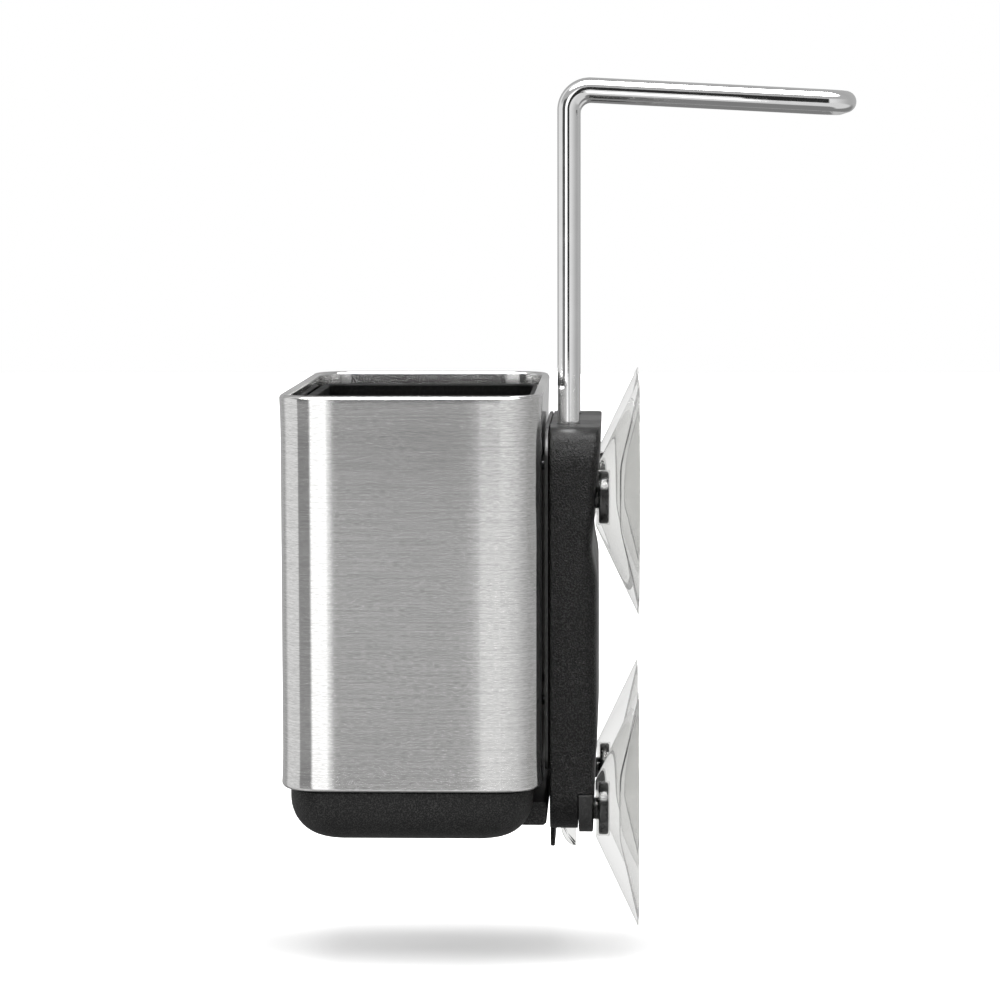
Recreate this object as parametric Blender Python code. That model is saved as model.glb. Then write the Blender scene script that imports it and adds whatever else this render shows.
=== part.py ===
"""Sink caddy: a steel sleeve on a black base, hung on a wall bracket with four cups and a wire loop.

Units are metres and +Z is up. The origin is the centre of the four cups on the wall plane, Y = 0.
The caddy hangs in front of the wall, towards -Y.
"""
import math

import bmesh
import bpy
from mathutils import Vector

# Clearances and cutting
FIT = 0.0003
OVERRUN = 0.003
MERGE = 0.000001

# Suction cups and their studs
CUP_RADIUS = 0.0322
CUP_HEIGHT = 0.0121
CUP_NECK_RADIUS = 0.0078
CUP_LIP = 0.0007
CUP_CROWN_RADIUS = 0.0084
CUP_CROWN_DEPTH = 0.0052
CUP_RIM_LAND = 0.0014
CUP_RIM_THICKNESS = 0.0004
CUP_SEGMENTS = 32
STUD_HEAD_RADIUS = 0.0072
STUD_HEAD_THICKNESS = 0.0028
STUD_EDGE = 0.0004
STUD_STEM_RADIUS = 0.003
STUD_STEM_LENGTH = 0.0054
STUD_SEGMENTS = 18

# Wall bracket
BRACKET_WIDTH = 0.086
BRACKET_BELOW_RIM = 0.0102
BRACKET_DEPTH = 0.0139
BRACKET_CORNER_RADIUS = 0.010
CUP_BELOW_TOP = 0.0195
CUP_ABOVE_FOOT = 0.0054
CUP_FROM_SIDE = 0.010
BRACKET_WALL_GAP = 0.0107
BRACKET_FRONT_EDGE = 0.0008
BRACKET_SIDE_WALL = 0.002
BRACKET_END_WALL = 0.002
BRACKET_FRONT_WALL = 0.0012
REAR_RELIEF = 0.0022
REAR_ROLL_DEPTH = 0.0055
REAR_ROLL_WIDTH = 0.0045
REAR_ROLL_STEPS = 3
BRACKET_STATIONS = 14
BRACKET_CORNER_STEPS = 6
TONGUE_FROM_SIDE = 0.013
TONGUE_DROP = 0.0064
TONGUE_CORNER_RADIUS = 0.003

# Height along the bracket, then how much of the relief or of the roll's depth is reached there
REAR_RELIEF_SHARES = (
    (0.0, 0.90), (0.14, 0.64), (0.25, 0.36), (0.50, 0.36), (0.62, 0.40),
    (0.71, 1.0), (0.81, 0.60), (0.91, 0.14), (1.0, 0.0),
)
REAR_ROLL_SHARES = (
    (0.0, 0.42), (0.12, 0.54), (0.225, 0.67), (0.33, 0.85), (0.52, 1.0),
    (0.72, 0.90), (0.81, 0.74), (0.87, 0.65), (0.915, 0.56), (0.95, 0.40), (1.0, 0.22),
)

# Back cover, its lip and its bosses
COVER_THICKNESS = 0.0024
COVER_LIP_HEIGHT = 0.0107
COVER_LIP_DROP = 0.0011
COVER_LIP_DEPTH = 0.0059
SPOT_FACE_RADIUS = 0.0113
STUD_BOSS_RADIUS = 0.0058
STUD_BOSS_HEIGHT = 0.0019
SHELF_WIDTH = 0.011
SHELF_THICKNESS = 0.002
COVER_SCREW_FROM_SIDE = 0.009
COVER_SCREW_ABOVE_FOOT = 0.032
COVER_SCREW_BELOW_TOP = 0.0455
COVER_SCREW_RADIUS = 0.0014
COVER_SCREW_LENGTH = 0.0068
COVER_SCREW_HEAD_RADIUS = 0.0027
COVER_SCREW_HEAD_HEIGHT = 0.0012
COVER_SCREW_EDGE = 0.0004
COVER_SCREW_DEPTH = 0.0014
SCREW_POST_RADIUS = 0.0036
SMALL_SEGMENTS = 12
ROD_SEGMENTS = 24

# Wire loop, its yoke, grips and plugs
ROD_RADIUS = 0.003
ROD_FROM_SIDE = 0.0225
LOOP_RISE = 0.0930
LOOP_REACH = 0.0569
LOOP_FALL_DEGREES = 3.07
LOOP_BEND_RADIUS = 0.006
LOOP_END_RADIUS = 0.0058
LOOP_ARC_STEPS = 6
ROD_RESOLUTION = 4
SHELF_BELOW_TOP = 0.0167
GRIP_WIDTH = 0.0096
GRIP_HEIGHT = 0.0092
GRIP_WRAP = 0.0012
YOKE_HEIGHT = 0.0115
YOKE_FLOOR = 0.002
YOKE_MARGIN = 0.0048
YOKE_OPENING = 0.0026
YOKE_EDGE = 0.0008
YOKE_SCREW_RADIUS = 0.0012
YOKE_SCREW_LENGTH = 0.0075
YOKE_SCREW_HEAD_RADIUS = 0.0025
YOKE_SCREW_HEAD_HEIGHT = 0.0014
PLUG_FLANGE_RADIUS = 0.0029
PLUG_FLANGE_HEIGHT = 0.0012
PLUG_NECK_RADIUS = 0.0021
PLUG_ROOT = 0.0012
PLUG_FIN_LENGTH = 0.0045
PLUG_FIN_WIDTH = 0.0038
PLUG_DROP = 0.0074
PLUG_STEPS = 5

# Carrier plate, its hooks and its rivets
CARRIER_THICKNESS = 0.0011
CARRIER_MARGIN = 0.001
CARRIER_LEVEL = 0.017
CARRIER_FOOT_RADIUS = 0.006
HOOK_FROM_SIDE = 0.012
HOOK_WIDTH = 0.010
HOOK_BELOW_TOP = 0.0235
HOOK_NECK_HEIGHT = 0.006
HOOK_TONGUE = 0.009
HOOK_THICKNESS = 0.0015
RIVET_FROM_SIDE = 0.021
RIVET_ABOVE_FOOT = 0.034
RIVET_BELOW_TOP = 0.0115
RIVET_RADIUS = 0.0013
RIVET_TAIL_RADIUS = 0.0022
RIVET_HEAD_RADIUS = 0.0028
RIVET_HEAD_HEIGHT = 0.001

# Steel sleeve
SLEEVE_WIDTH = 0.125
SLEEVE_DEPTH = 0.0707
SLEEVE_HEIGHT = 0.107
SLEEVE_CORNER_RADIUS = 0.012
SLEEVE_WALL = 0.0008
SLEEVE_FLARE = 0.0003
SLEEVE_FLARE_HEIGHT = 0.012
HEM_WIDTH = 0.0022
TOP_HEM_HEIGHT = 0.0034
FOOT_HEM_HEIGHT = 0.0024
HEM_STEPS = 4
CORNER_STEPS = 6

# Base tub
BASE_HEIGHT = 0.0144
BASE_INSET = 0.0023
BASE_WALL = 0.002
BASE_ROLL_HEIGHT = 0.012
BASE_ROLL_WIDTH = 0.0112
BASE_ROLL_STEPS = 7
BASE_FOOT_RADIUS = 0.005
BASE_SHOULDER_EDGE = 0.0005
SPIGOT_HEIGHT = 0.0042
SPIGOT_WALL = 0.0016
BEAD_REACH = 0.0012
BEAD_HEIGHT = 0.0007
REST_RIB_THICKNESS = 0.0016
REST_RIB_X = 0.030
LUG_FROM_SIDE = 0.005
LUG_LEVEL = 0.0015
LUG_HEIGHT = 0.0064
LUG_GAP = 0.0009
LUG_FOOT_ROOT = 0.0088
LUG_TOP_ROOT = 0.0038
LUG_EDGE = 0.0008

# Inner liner and its divider
LINER_INSET = 0.0031
LINER_DRAFT = 0.001
LINER_WALL = 0.0016
LINER_FLOOR = 0.0018
LINER_BOTTOM_RADIUS = 0.004
LINER_RIM_HEIGHT = 0.0025
LINER_RIM_REACH = 0.0006
LINER_BOTTOM_STEPS = 3
DIVIDER_X = -0.022
DIVIDER_THICKNESS = 0.0018
DIVIDER_HEIGHT = 0.082
DIVIDER_SCOOP = 0.010
DIVIDER_SHOULDER = 0.011
DIVIDER_CORNER_RADIUS = 0.005
DIVIDER_STEPS = 8
GUIDE_RIB_THICKNESS = 0.0014
GUIDE_RIB_REACH = 0.0026
GUIDE_RIB_HEIGHT = 0.070
SLOT_WIDTH = 0.003
SLOT_LENGTH = 0.030
SLOT_PITCH = 0.010
SLOT_STEPS = 4
BASE_SLOT_LENGTH = 0.018
BASE_SLOT_PITCH = 0.012
BASE_SLOT_COUNT = 7

# Levels and planes that pieces share
CADDY_HEIGHT = BASE_HEIGHT + FIT + SLEEVE_HEIGHT
BRACKET_HEIGHT = CADDY_HEIGHT - BRACKET_BELOW_RIM
CUP_SPACING_X = BRACKET_WIDTH - 2 * CUP_FROM_SIDE
CUP_SPACING_Z = BRACKET_HEIGHT - CUP_BELOW_TOP - CUP_ABOVE_FOOT
BRACKET_FOOT_Z = -CUP_SPACING_Z / 2 - CUP_ABOVE_FOOT
BRACKET_TOP_Z = BRACKET_FOOT_Z + BRACKET_HEIGHT
BRACKET_REAR_Y = -BRACKET_WALL_GAP
BRACKET_FRONT_Y = BRACKET_REAR_Y - BRACKET_DEPTH
HOUSING_INNER_Y = BRACKET_FRONT_Y + BRACKET_FRONT_WALL
SPOT_FACE_Y = -CUP_HEIGHT - FIT
COVER_FRONT_Y = SPOT_FACE_Y - COVER_THICKNESS
STUD_BOSS_Y = COVER_FRONT_Y - STUD_BOSS_HEIGHT
LIP_FRONT_Y = BRACKET_REAR_Y - COVER_LIP_DEPTH
ROD_X = BRACKET_WIDTH / 2 - ROD_FROM_SIDE
HOOK_X = BRACKET_WIDTH / 2 - HOOK_FROM_SIDE
RIVET_X = BRACKET_WIDTH / 2 - RIVET_FROM_SIDE
COVER_SCREW_X = BRACKET_WIDTH / 2 - COVER_SCREW_FROM_SIDE
ROD_Y = HOUSING_INNER_Y + 2 * FIT + ROD_RADIUS
YOKE_FOOT_Z = BRACKET_FOOT_Z + COVER_LIP_HEIGHT + FIT
YOKE_TOP_Z = YOKE_FOOT_Z + YOKE_HEIGHT
ROD_END_Z = YOKE_FOOT_Z + YOKE_FLOOR + FIT
SHELF_FOOT_Z = BRACKET_TOP_Z - SHELF_BELOW_TOP
SHELF_TOP_Z = SHELF_FOOT_Z + SHELF_THICKNESS
CARRIER_REAR_Y = BRACKET_FRONT_Y - FIT
CARRIER_FRONT_Y = CARRIER_REAR_Y - CARRIER_THICKNESS
SLEEVE_REAR_Y = CARRIER_FRONT_Y - FIT - SLEEVE_FLARE
SLEEVE_MIDDLE_Y = SLEEVE_REAR_Y - SLEEVE_DEPTH / 2
BASE_FOOT_Z = BRACKET_FOOT_Z
BASE_SHOULDER_Z = BASE_FOOT_Z + BASE_HEIGHT
SLEEVE_FOOT_Z = BASE_SHOULDER_Z + FIT
SLEEVE_TOP_Z = SLEEVE_FOOT_Z + SLEEVE_HEIGHT
SPIGOT_TOP_Z = BASE_SHOULDER_Z + SPIGOT_HEIGHT
LINER_FOOT_Z = BASE_SHOULDER_Z + FIT + FOOT_HEM_HEIGHT
LINER_TOP_Z = SLEEVE_TOP_Z - TOP_HEM_HEIGHT - FIT
LINER_FLOOR_Z = LINER_FOOT_Z + LINER_FLOOR
DIVIDER_FOOT_Z = LINER_FLOOR_Z + FIT
HOOK_SLOT_Z = BRACKET_TOP_Z - HOOK_BELOW_TOP
SCREW_FACE_Y = BRACKET_REAR_Y - COVER_SCREW_DEPTH


X_AXIS = Vector((1, 0, 0))
Y_AXIS = Vector((0, 1, 0))
Z_AXIS = Vector((0, 0, 1))
SIDES = (("left", -1), ("right", 1))


def clear_scene():
    """Removes what the file opened with."""
    for old in list(bpy.data.objects):
        bpy.data.objects.remove(old)


def material(name, colour, roughness, metallic=0.0, alpha=1.0):
    """One Principled material with plain settings."""
    made = bpy.data.materials.new(name)
    made.use_nodes = True
    shader = made.node_tree.nodes["Principled BSDF"]
    shader.inputs["Base Color"].default_value = (*colour, 1.0)
    shader.inputs["Roughness"].default_value = roughness
    shader.inputs["Metallic"].default_value = metallic
    shader.inputs["Alpha"].default_value = alpha
    made.diffuse_color = (*colour, alpha)
    return made


def brushed_steel():
    return material("brushed_steel", (0.62, 0.61, 0.60), 0.32, metallic=1.0)


def polished_steel():
    return material("polished_steel", (0.78, 0.78, 0.78), 0.08, metallic=1.0)


def black_plastic():
    return material("black_plastic", (0.03, 0.03, 0.03), 0.55)


def black_rubber():
    return material("black_rubber", (0.02, 0.02, 0.02), 0.8)


def clear_vinyl():
    return material("clear_vinyl", (0.93, 0.93, 0.91), 0.1, alpha=0.35)


def zinc():
    return material("zinc", (0.66, 0.66, 0.64), 0.35, metallic=1.0)


def frame(name, place):
    """An empty on a joint's line, which carries the pieces of one moving body."""
    empty = bpy.data.objects.new(name, None)
    empty.location = place
    bpy.context.collection.objects.link(empty)
    return empty


def object_from(name, bm):
    """Puts a finished bmesh in an object, with its faces outwards."""
    bmesh.ops.recalc_face_normals(bm, faces=bm.faces)
    mesh = bpy.data.meshes.new(name)
    bm.to_mesh(mesh)
    bm.free()
    made = bpy.data.objects.new(name, mesh)
    bpy.context.collection.objects.link(made)
    return made


def dress(piece, finish, body, origin, smooth_angle=math.radians(35)):
    """Gives a piece its material, its own origin and its parent, and leaves its shape where it is."""
    piece.data.materials.append(finish)
    piece.data.shade_smooth()
    piece.data.set_sharp_from_angle(angle=smooth_angle)
    for vertex in piece.data.vertices:
        vertex.co -= origin
    piece.location = origin - body.location
    piece.parent = body
    return piece


def loft(name, rings, closed=False):
    """Joins rings of points in order. A closed loft ends where it began, an open one gets flat ends."""
    bm = bmesh.new()
    rows = [[bm.verts.new(point) for point in ring] for ring in rings]
    pairs = list(zip(rows, rows[1:]))
    if closed:
        pairs.append((rows[-1], rows[0]))
    for low, high in pairs:
        for i in range(len(low)):
            following = (i + 1) % len(low)
            bm.faces.new((low[i], low[following], high[following], high[i]))
    if not closed:
        bm.faces.new(list(reversed(rows[0])))
        bm.faces.new(rows[-1])
    return object_from(name, bm)


def lathe(name, profile, centre, segments, axis=Vector((0, 1, 0))):
    """Turns (radius, along) points about an axis through the centre."""
    across = Vector((1, 0, 0))
    bm = bmesh.new()
    points = [bm.verts.new(centre + across * radius + axis * along) for radius, along in profile]
    edges = [bm.edges.new(pair) for pair in zip(points, points[1:])]
    if profile[0][0] > 0:
        edges.append(bm.edges.new((points[-1], points[0])))
    bmesh.ops.spin(
        bm, geom=points + edges, cent=centre, axis=axis, angle=2 * math.pi, steps=segments,
        use_duplicate=False,
    )
    bmesh.ops.remove_doubles(bm, verts=bm.verts, dist=MERGE)
    return object_from(name, bm)


def prism(name, outline, start, direction):
    """Extrudes a flat outline of points, placed from start, along a direction."""
    base = [start + point for point in outline]
    top = [point + direction for point in base]
    return loft(name, [base, top])


def block(name, low, high):
    """A box from its lowest corner to its highest."""
    base = [
        Vector((low[0], low[1], low[2])), Vector((high[0], low[1], low[2])),
        Vector((high[0], high[1], low[2])), Vector((low[0], high[1], low[2])),
    ]
    return prism(name, base, Vector(), Vector((0, 0, high[2] - low[2])))


def combine(piece, operation, tools):
    """Adds one Boolean to a piece for a whole group of tools, and hides the tools."""
    group = bpy.data.collections.new(f"{piece.name}_{operation.lower()}")
    bpy.context.scene.collection.children.link(group)
    for tool in tools:
        group.objects.link(tool)
        tool.hide_render = True
        tool.display_type = "WIRE"
    step = piece.modifiers.new(group.name, "BOOLEAN")
    step.operation = operation
    step.solver = "EXACT"
    if len(tools) == 1:
        step.object = tools[0]
    else:
        step.operand_type = "COLLECTION"
        step.collection = group


def cut(piece, *tools):
    combine(piece, "DIFFERENCE", tools)


def add(piece, *tools):
    combine(piece, "UNION", tools)


def interpolate(table, at):
    """Reads a table of (place, value) pairs, eased between its rows."""
    for (before, low), (after, high) in zip(table, table[1:]):
        if at <= after:
            share = (at - before) / (after - before)
            eased = share * share * (3 - 2 * share)
            return low + (high - low) * eased
    return table[-1][1]


def arc(centre, radius, start, end, steps, across, up):
    """Points of an arc about a centre, from one angle to another, in the plane of two directions."""
    return [
        centre
        + across * (radius * math.cos(start + (end - start) * i / steps))
        + up * (radius * math.sin(start + (end - start) * i / steps))
        for i in range(steps + 1)
    ]


def rounded_rectangle(half_across, half_up, radii, steps, across, up):
    """A rectangle's outline about the zero point. Its corners' radii start at the positive one."""
    quarter = math.pi / 2
    signs = ((1, 1), (-1, 1), (-1, -1), (1, -1))
    outline = []
    for corner, (sign_across, sign_up) in enumerate(signs):
        radius = radii[corner]
        centre = across * (sign_across * (half_across - radius)) + up * (sign_up * (half_up - radius))
        outline += arc(centre, radius, corner * quarter, (corner + 1) * quarter, steps, across, up)
    return outline


def caddy_ring(inset, z, foot_radius=None):
    """The caddy's outline seen from above, drawn in by an inset, at a height."""
    radius = max(SLEEVE_CORNER_RADIUS - inset, FIT) if foot_radius is None else foot_radius
    outline = rounded_rectangle(
        SLEEVE_WIDTH / 2 - inset, SLEEVE_DEPTH / 2 - inset, (radius,) * 4, CORNER_STEPS, X_AXIS, Y_AXIS
    )
    middle = Vector((0, SLEEVE_MIDDLE_Y, z))
    return [middle + point for point in outline]


def hem_profile(height):
    """A rolled rim in section as (inset, height) pairs, from the outer skin over the edge inwards."""
    half = HEM_WIDTH / 2
    profile = []
    for i in range(2 * HEM_STEPS + 1):
        angle = math.pi * i / (2 * HEM_STEPS)
        reach = half + SLEEVE_FLARE if i < HEM_STEPS else half
        profile.append((half - reach * math.cos(angle), height - half + half * math.sin(angle)))
    return profile


def make_sleeve(finish, body):
    """Steel sleeve: one closed section carried round the caddy's outline, hemmed inwards at both ends."""
    top = hem_profile(SLEEVE_HEIGHT)
    foot = [(inset, SLEEVE_HEIGHT - height) for inset, height in reversed(top)]
    section = [
        (0, SLEEVE_FLARE_HEIGHT),
        (0, SLEEVE_HEIGHT - SLEEVE_FLARE_HEIGHT),
        (-SLEEVE_FLARE / 2, SLEEVE_HEIGHT - SLEEVE_FLARE_HEIGHT / 2),
        *top,
        (HEM_WIDTH, SLEEVE_HEIGHT - TOP_HEM_HEIGHT),
        (SLEEVE_WALL, SLEEVE_HEIGHT - TOP_HEM_HEIGHT),
        (SLEEVE_WALL, FOOT_HEM_HEIGHT),
        (HEM_WIDTH, FOOT_HEM_HEIGHT),
        *foot,
        (-SLEEVE_FLARE / 2, SLEEVE_FLARE_HEIGHT / 2),
    ]
    rings = [caddy_ring(inset, SLEEVE_FOOT_Z + height) for inset, height in section]
    sleeve = loft("steel_sleeve", rings, closed=True)
    hole_start = SLEEVE_REAR_Y - 2 * SLEEVE_WALL
    cut(sleeve, *[
        round_cutter(f"sleeve_hole_{level}_{side}", RIVET_RADIUS + FIT, x, z, hole_start, OVERRUN)
        for x, z, side, level in rivet_places()
    ])
    return dress(sleeve, finish, body, Vector((0, SLEEVE_MIDDLE_Y, SLEEVE_FOOT_Z)))


def round_cutter(name, radius, x, z, start_y, length):
    """A plain round bar along Y that cuts a hole."""
    profile = ((0, 0), (radius, 0), (radius, length), (0, length))
    return lathe(name, profile, Vector((x, start_y, z)), SMALL_SEGMENTS)


def rivet_places():
    """Centres of the four rivets, with words for their names."""
    levels = (("upper", BRACKET_TOP_Z - RIVET_BELOW_TOP), ("lower", BRACKET_FOOT_Z + RIVET_ABOVE_FOOT))
    return [(sign * RIVET_X, z, side, level) for level, z in levels for side, sign in SIDES]


def make_rivets(finish, body):
    """Rivets from inside the sleeve, with tails spread flush in the carrier plate."""
    inner = SLEEVE_REAR_Y - SLEEVE_WALL - FIT
    tail = CARRIER_REAR_Y - FIT / 2
    tail_height = CARRIER_THICKNESS / 2
    for x, z, side, level in rivet_places():
        profile = (
            (0, inner - RIVET_HEAD_HEIGHT),
            (RIVET_HEAD_RADIUS - RIVET_HEAD_HEIGHT / 2, inner - RIVET_HEAD_HEIGHT),
            (RIVET_HEAD_RADIUS, inner - RIVET_HEAD_HEIGHT / 2),
            (RIVET_HEAD_RADIUS, inner),
            (RIVET_RADIUS, inner),
            (RIVET_RADIUS, tail - tail_height),
            (RIVET_TAIL_RADIUS, tail),
            (0, tail),
        )
        rivet = lathe(f"carrier_rivet_{level}_{side}", profile, Vector((x, 0, z)), SMALL_SEGMENTS)
        dress(rivet, finish, body, Vector((x, CARRIER_REAR_Y, z)))


def slot_cutters(name, count, pitch, length, middle_x, low, high):
    """Round-ended drain slots that run front to back, in one row along X."""
    cutters = []
    half = SLOT_WIDTH / 2
    outline = rounded_rectangle(half, length / 2, (half,) * 4, SLOT_STEPS, X_AXIS, Y_AXIS)
    for i in range(count):
        x = middle_x + (i - (count - 1) / 2) * pitch
        start = Vector((x, SLEEVE_MIDDLE_Y, low))
        cutters.append(prism(f"{name}_{i}", slim(outline), start, Z_AXIS * (high - low)))
    return cutters


def slim(outline):
    """Drops points that fall on the one before, as where two arcs meet."""
    kept = [point for i, point in enumerate(outline) if (point - outline[i - 1]).length > MERGE]
    return kept


def make_base(finish, body):
    """Base tub: soft lower edge, a shoulder under the sleeve, and a spigot that snaps over the foot hem."""
    def roll(share):
        angle = share * math.pi / 2
        inset = BASE_INSET + BASE_ROLL_WIDTH * (1 - math.sin(angle))
        height = BASE_ROLL_HEIGHT * (1 - math.cos(angle))
        radius = BASE_FOOT_RADIUS + (SLEEVE_CORNER_RADIUS - BASE_INSET - BASE_FOOT_RADIUS) * math.sin(angle)
        return inset, height, radius

    shares = [i / BASE_ROLL_STEPS for i in range(BASE_ROLL_STEPS + 1)]
    rings = [caddy_ring(inset, BASE_FOOT_Z + height, radius) for inset, height, radius in map(roll, shares)]
    spigot = HEM_WIDTH + FIT
    bead_foot = SLEEVE_FOOT_Z + FOOT_HEM_HEIGHT + FIT
    bead = spigot - BEAD_REACH
    edge = BASE_SHOULDER_EDGE
    inner = spigot + SPIGOT_WALL
    rings += [
        caddy_ring(BASE_INSET, BASE_SHOULDER_Z - edge),
        caddy_ring(BASE_INSET + edge, BASE_SHOULDER_Z),
        caddy_ring(spigot + edge, BASE_SHOULDER_Z),
        caddy_ring(spigot + edge, bead_foot),
        caddy_ring(bead, bead_foot),
        caddy_ring(bead, bead_foot + BEAD_HEIGHT),
        caddy_ring(spigot, SPIGOT_TOP_Z),
        caddy_ring(inner + edge, SPIGOT_TOP_Z),
        caddy_ring(inner + edge, BASE_SHOULDER_Z),
    ]
    for inset, height, radius in reversed([roll(share) for share in shares]):
        inner_height = BASE_WALL + height * (1 - BASE_WALL / BASE_ROLL_HEIGHT)
        rings.append(caddy_ring(inset + BASE_WALL, BASE_FOOT_Z + inner_height, max(radius - BASE_WALL, FIT)))
    tub = loft("base_tub", rings)
    add(tub, base_lug(), *rest_ribs())
    cut(tub, *slot_cutters(
        "base_slot", BASE_SLOT_COUNT, BASE_SLOT_PITCH, BASE_SLOT_LENGTH, 0,
        BASE_FOOT_Z - OVERRUN, BASE_FOOT_Z + BASE_WALL + OVERRUN / 3,
    ))
    return dress(tub, finish, body, Vector((0, SLEEVE_MIDDLE_Y, BASE_FOOT_Z)))


def base_lug():
    """Spacer lug on the base's rear, with softened edges, which keeps the caddy upright on its bracket."""
    rear = BRACKET_FRONT_Y - LUG_GAP
    low = BASE_FOOT_Z + LUG_LEVEL
    high = low + LUG_HEIGHT
    outline = [
        Vector((0, SLEEVE_REAR_Y - LUG_FOOT_ROOT, low)),
        Vector((0, rear - LUG_EDGE, low)),
        Vector((0, rear, low + LUG_EDGE)),
        Vector((0, rear, high - LUG_EDGE)),
        Vector((0, rear - LUG_EDGE, high)),
        Vector((0, SLEEVE_REAR_Y - LUG_TOP_ROOT, high)),
    ]
    half_width = BRACKET_WIDTH / 2 - LUG_FROM_SIDE
    return prism("lug_form", outline, X_AXIS * -half_width, X_AXIS * (2 * half_width))


def rest_ribs():
    """Two ribs across the base that carry the liner's floor."""
    reach = SLEEVE_DEPTH / 2 - BASE_INSET - BASE_WALL / 2
    top = LINER_FOOT_Z - FIT
    ribs = []
    for side in (-1, 1):
        x = side * REST_RIB_X
        half = REST_RIB_THICKNESS / 2
        profile = [
            Vector((x - half, 0, BASE_FOOT_Z + BASE_WALL / 2)),
            Vector((x + half, 0, BASE_FOOT_Z + BASE_WALL / 2)),
            Vector((x + half, 0, top)),
            Vector((x - half, 0, top)),
        ]
        length = 2 * (reach - BASE_ROLL_WIDTH)
        start = Vector((0, SLEEVE_MIDDLE_Y - length / 2, 0))
        ribs.append(prism(f"rest_rib_{side + 1}", profile, start, Y_AXIS * length))
    return ribs


def make_carrier(finish, body):
    """Carrier plate: a thin sheet in the bracket's outline, with two hooks that drop behind its wall."""
    low = BRACKET_FOOT_Z + CARRIER_LEVEL
    half_height = (BRACKET_TOP_Z - low) / 2
    top_radius = BRACKET_CORNER_RADIUS
    radii = (top_radius, top_radius, CARRIER_FOOT_RADIUS, CARRIER_FOOT_RADIUS)
    outline = rounded_rectangle(
        BRACKET_WIDTH / 2 - CARRIER_MARGIN, half_height, radii, CORNER_STEPS, X_AXIS, Z_AXIS
    )
    start = Vector((0, CARRIER_FRONT_Y, low + half_height))
    plate = prism("carrier_plate", outline, start, Y_AXIS * CARRIER_THICKNESS)
    add(plate, *[hook_form(f"hook_{side}", sign * HOOK_X) for side, sign in SIDES])
    profile = (
        (0, CARRIER_FRONT_Y - OVERRUN),
        (RIVET_RADIUS + FIT, CARRIER_FRONT_Y - OVERRUN),
        (RIVET_RADIUS + FIT, CARRIER_REAR_Y - CARRIER_THICKNESS / 2 - FIT / 2),
        (RIVET_TAIL_RADIUS + FIT, CARRIER_REAR_Y - FIT / 2),
        (RIVET_TAIL_RADIUS + FIT, CARRIER_REAR_Y + FIT),
        (0, CARRIER_REAR_Y + FIT),
    )
    cut(plate, *[
        lathe(f"carrier_hole_{level}_{side}", profile, Vector((x, 0, z)), SMALL_SEGMENTS)
        for x, z, side, level in rivet_places()
    ])
    return dress(plate, finish, body, Vector((0, CARRIER_FRONT_Y, HOOK_SLOT_Z)))


def hook_form(name, x):
    """A hook in side view: a neck through the wall, then a tongue down behind it with a tapered end."""
    wall_rear = HOUSING_INNER_Y + FIT
    rear = wall_rear + HOOK_THICKNESS
    neck_foot = HOOK_SLOT_Z + FIT
    neck_top = neck_foot + HOOK_NECK_HEIGHT
    tongue_foot = neck_foot - HOOK_TONGUE
    taper = HOOK_THICKNESS / 2
    outline = [
        Vector((0, CARRIER_REAR_Y - CARRIER_THICKNESS / 2, neck_foot)),
        Vector((0, wall_rear, neck_foot)),
        Vector((0, wall_rear, tongue_foot + taper)),
        Vector((0, wall_rear + taper, tongue_foot)),
        Vector((0, rear, tongue_foot)),
        Vector((0, rear, neck_top - taper)),
        Vector((0, rear - taper, neck_top)),
        Vector((0, CARRIER_REAR_Y - CARRIER_THICKNESS / 2, neck_top)),
    ]
    return prism(name, outline, Vector((x - HOOK_WIDTH / 2, 0, 0)), X_AXIS * HOOK_WIDTH)


def bracket_half_width(z, foot_z):
    """Half the bracket's width at a height: straight sides, with a round corner at each end."""
    radius = BRACKET_CORNER_RADIUS
    foot_corner = radius + BRACKET_FOOT_Z - foot_z
    end = min((z - foot_z) * radius / foot_corner, BRACKET_TOP_Z - z, radius)
    short = radius - max(end, 0)
    return BRACKET_WIDTH / 2 - radius + math.sqrt(max(radius * radius - short * short, 0))


def bracket_section(z, foot_z):
    """The bracket's section at a height: flat front, straight cheeks, and edges that roll to the rear."""
    share = min(max((z - BRACKET_FOOT_Z) / BRACKET_HEIGHT, 0), 1)
    rear = BRACKET_REAR_Y - REAR_RELIEF * interpolate(REAR_RELIEF_SHARES, share)
    roll_start = min(BRACKET_REAR_Y - REAR_ROLL_DEPTH * interpolate(REAR_ROLL_SHARES, share), rear - FIT)
    half = bracket_half_width(z, foot_z)
    front = BRACKET_FRONT_Y
    edge = BRACKET_FRONT_EDGE
    right = [Vector((half - edge, front, z)), Vector((half, front + edge, z))]
    for i in range(REAR_ROLL_STEPS + 1):
        angle = math.pi / 2 * i / REAR_ROLL_STEPS
        x = half - REAR_ROLL_WIDTH * (1 - math.cos(angle))
        y = roll_start + (rear - roll_start) * math.sin(angle)
        right.append(Vector((x, y, z)))
    left = [Vector((-point.x, point.y, point.z)) for point in reversed(right)]
    return right + left


def bracket_levels(foot_z):
    """Heights of the bracket's sections, close together round its corners."""
    steps = BRACKET_CORNER_STEPS
    rises = [1 - math.cos(math.pi / 2 * i / steps) for i in range(steps + 1)]
    foot_corner = BRACKET_CORNER_RADIUS + BRACKET_FOOT_Z - foot_z
    low = [foot_z + foot_corner * rise for rise in rises]
    high = [BRACKET_TOP_Z - BRACKET_CORNER_RADIUS * rise for rise in reversed(rises)]
    span = high[0] - low[-1]
    middle = [low[-1] + span * i / BRACKET_STATIONS for i in range(1, BRACKET_STATIONS)]
    return low + middle + high


def bracket_form(name, foot_z):
    """The bracket's outer form, lofted through its sections from a foot level up to its top."""
    return loft(name, [bracket_section(z, foot_z) for z in bracket_levels(foot_z)])


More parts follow.
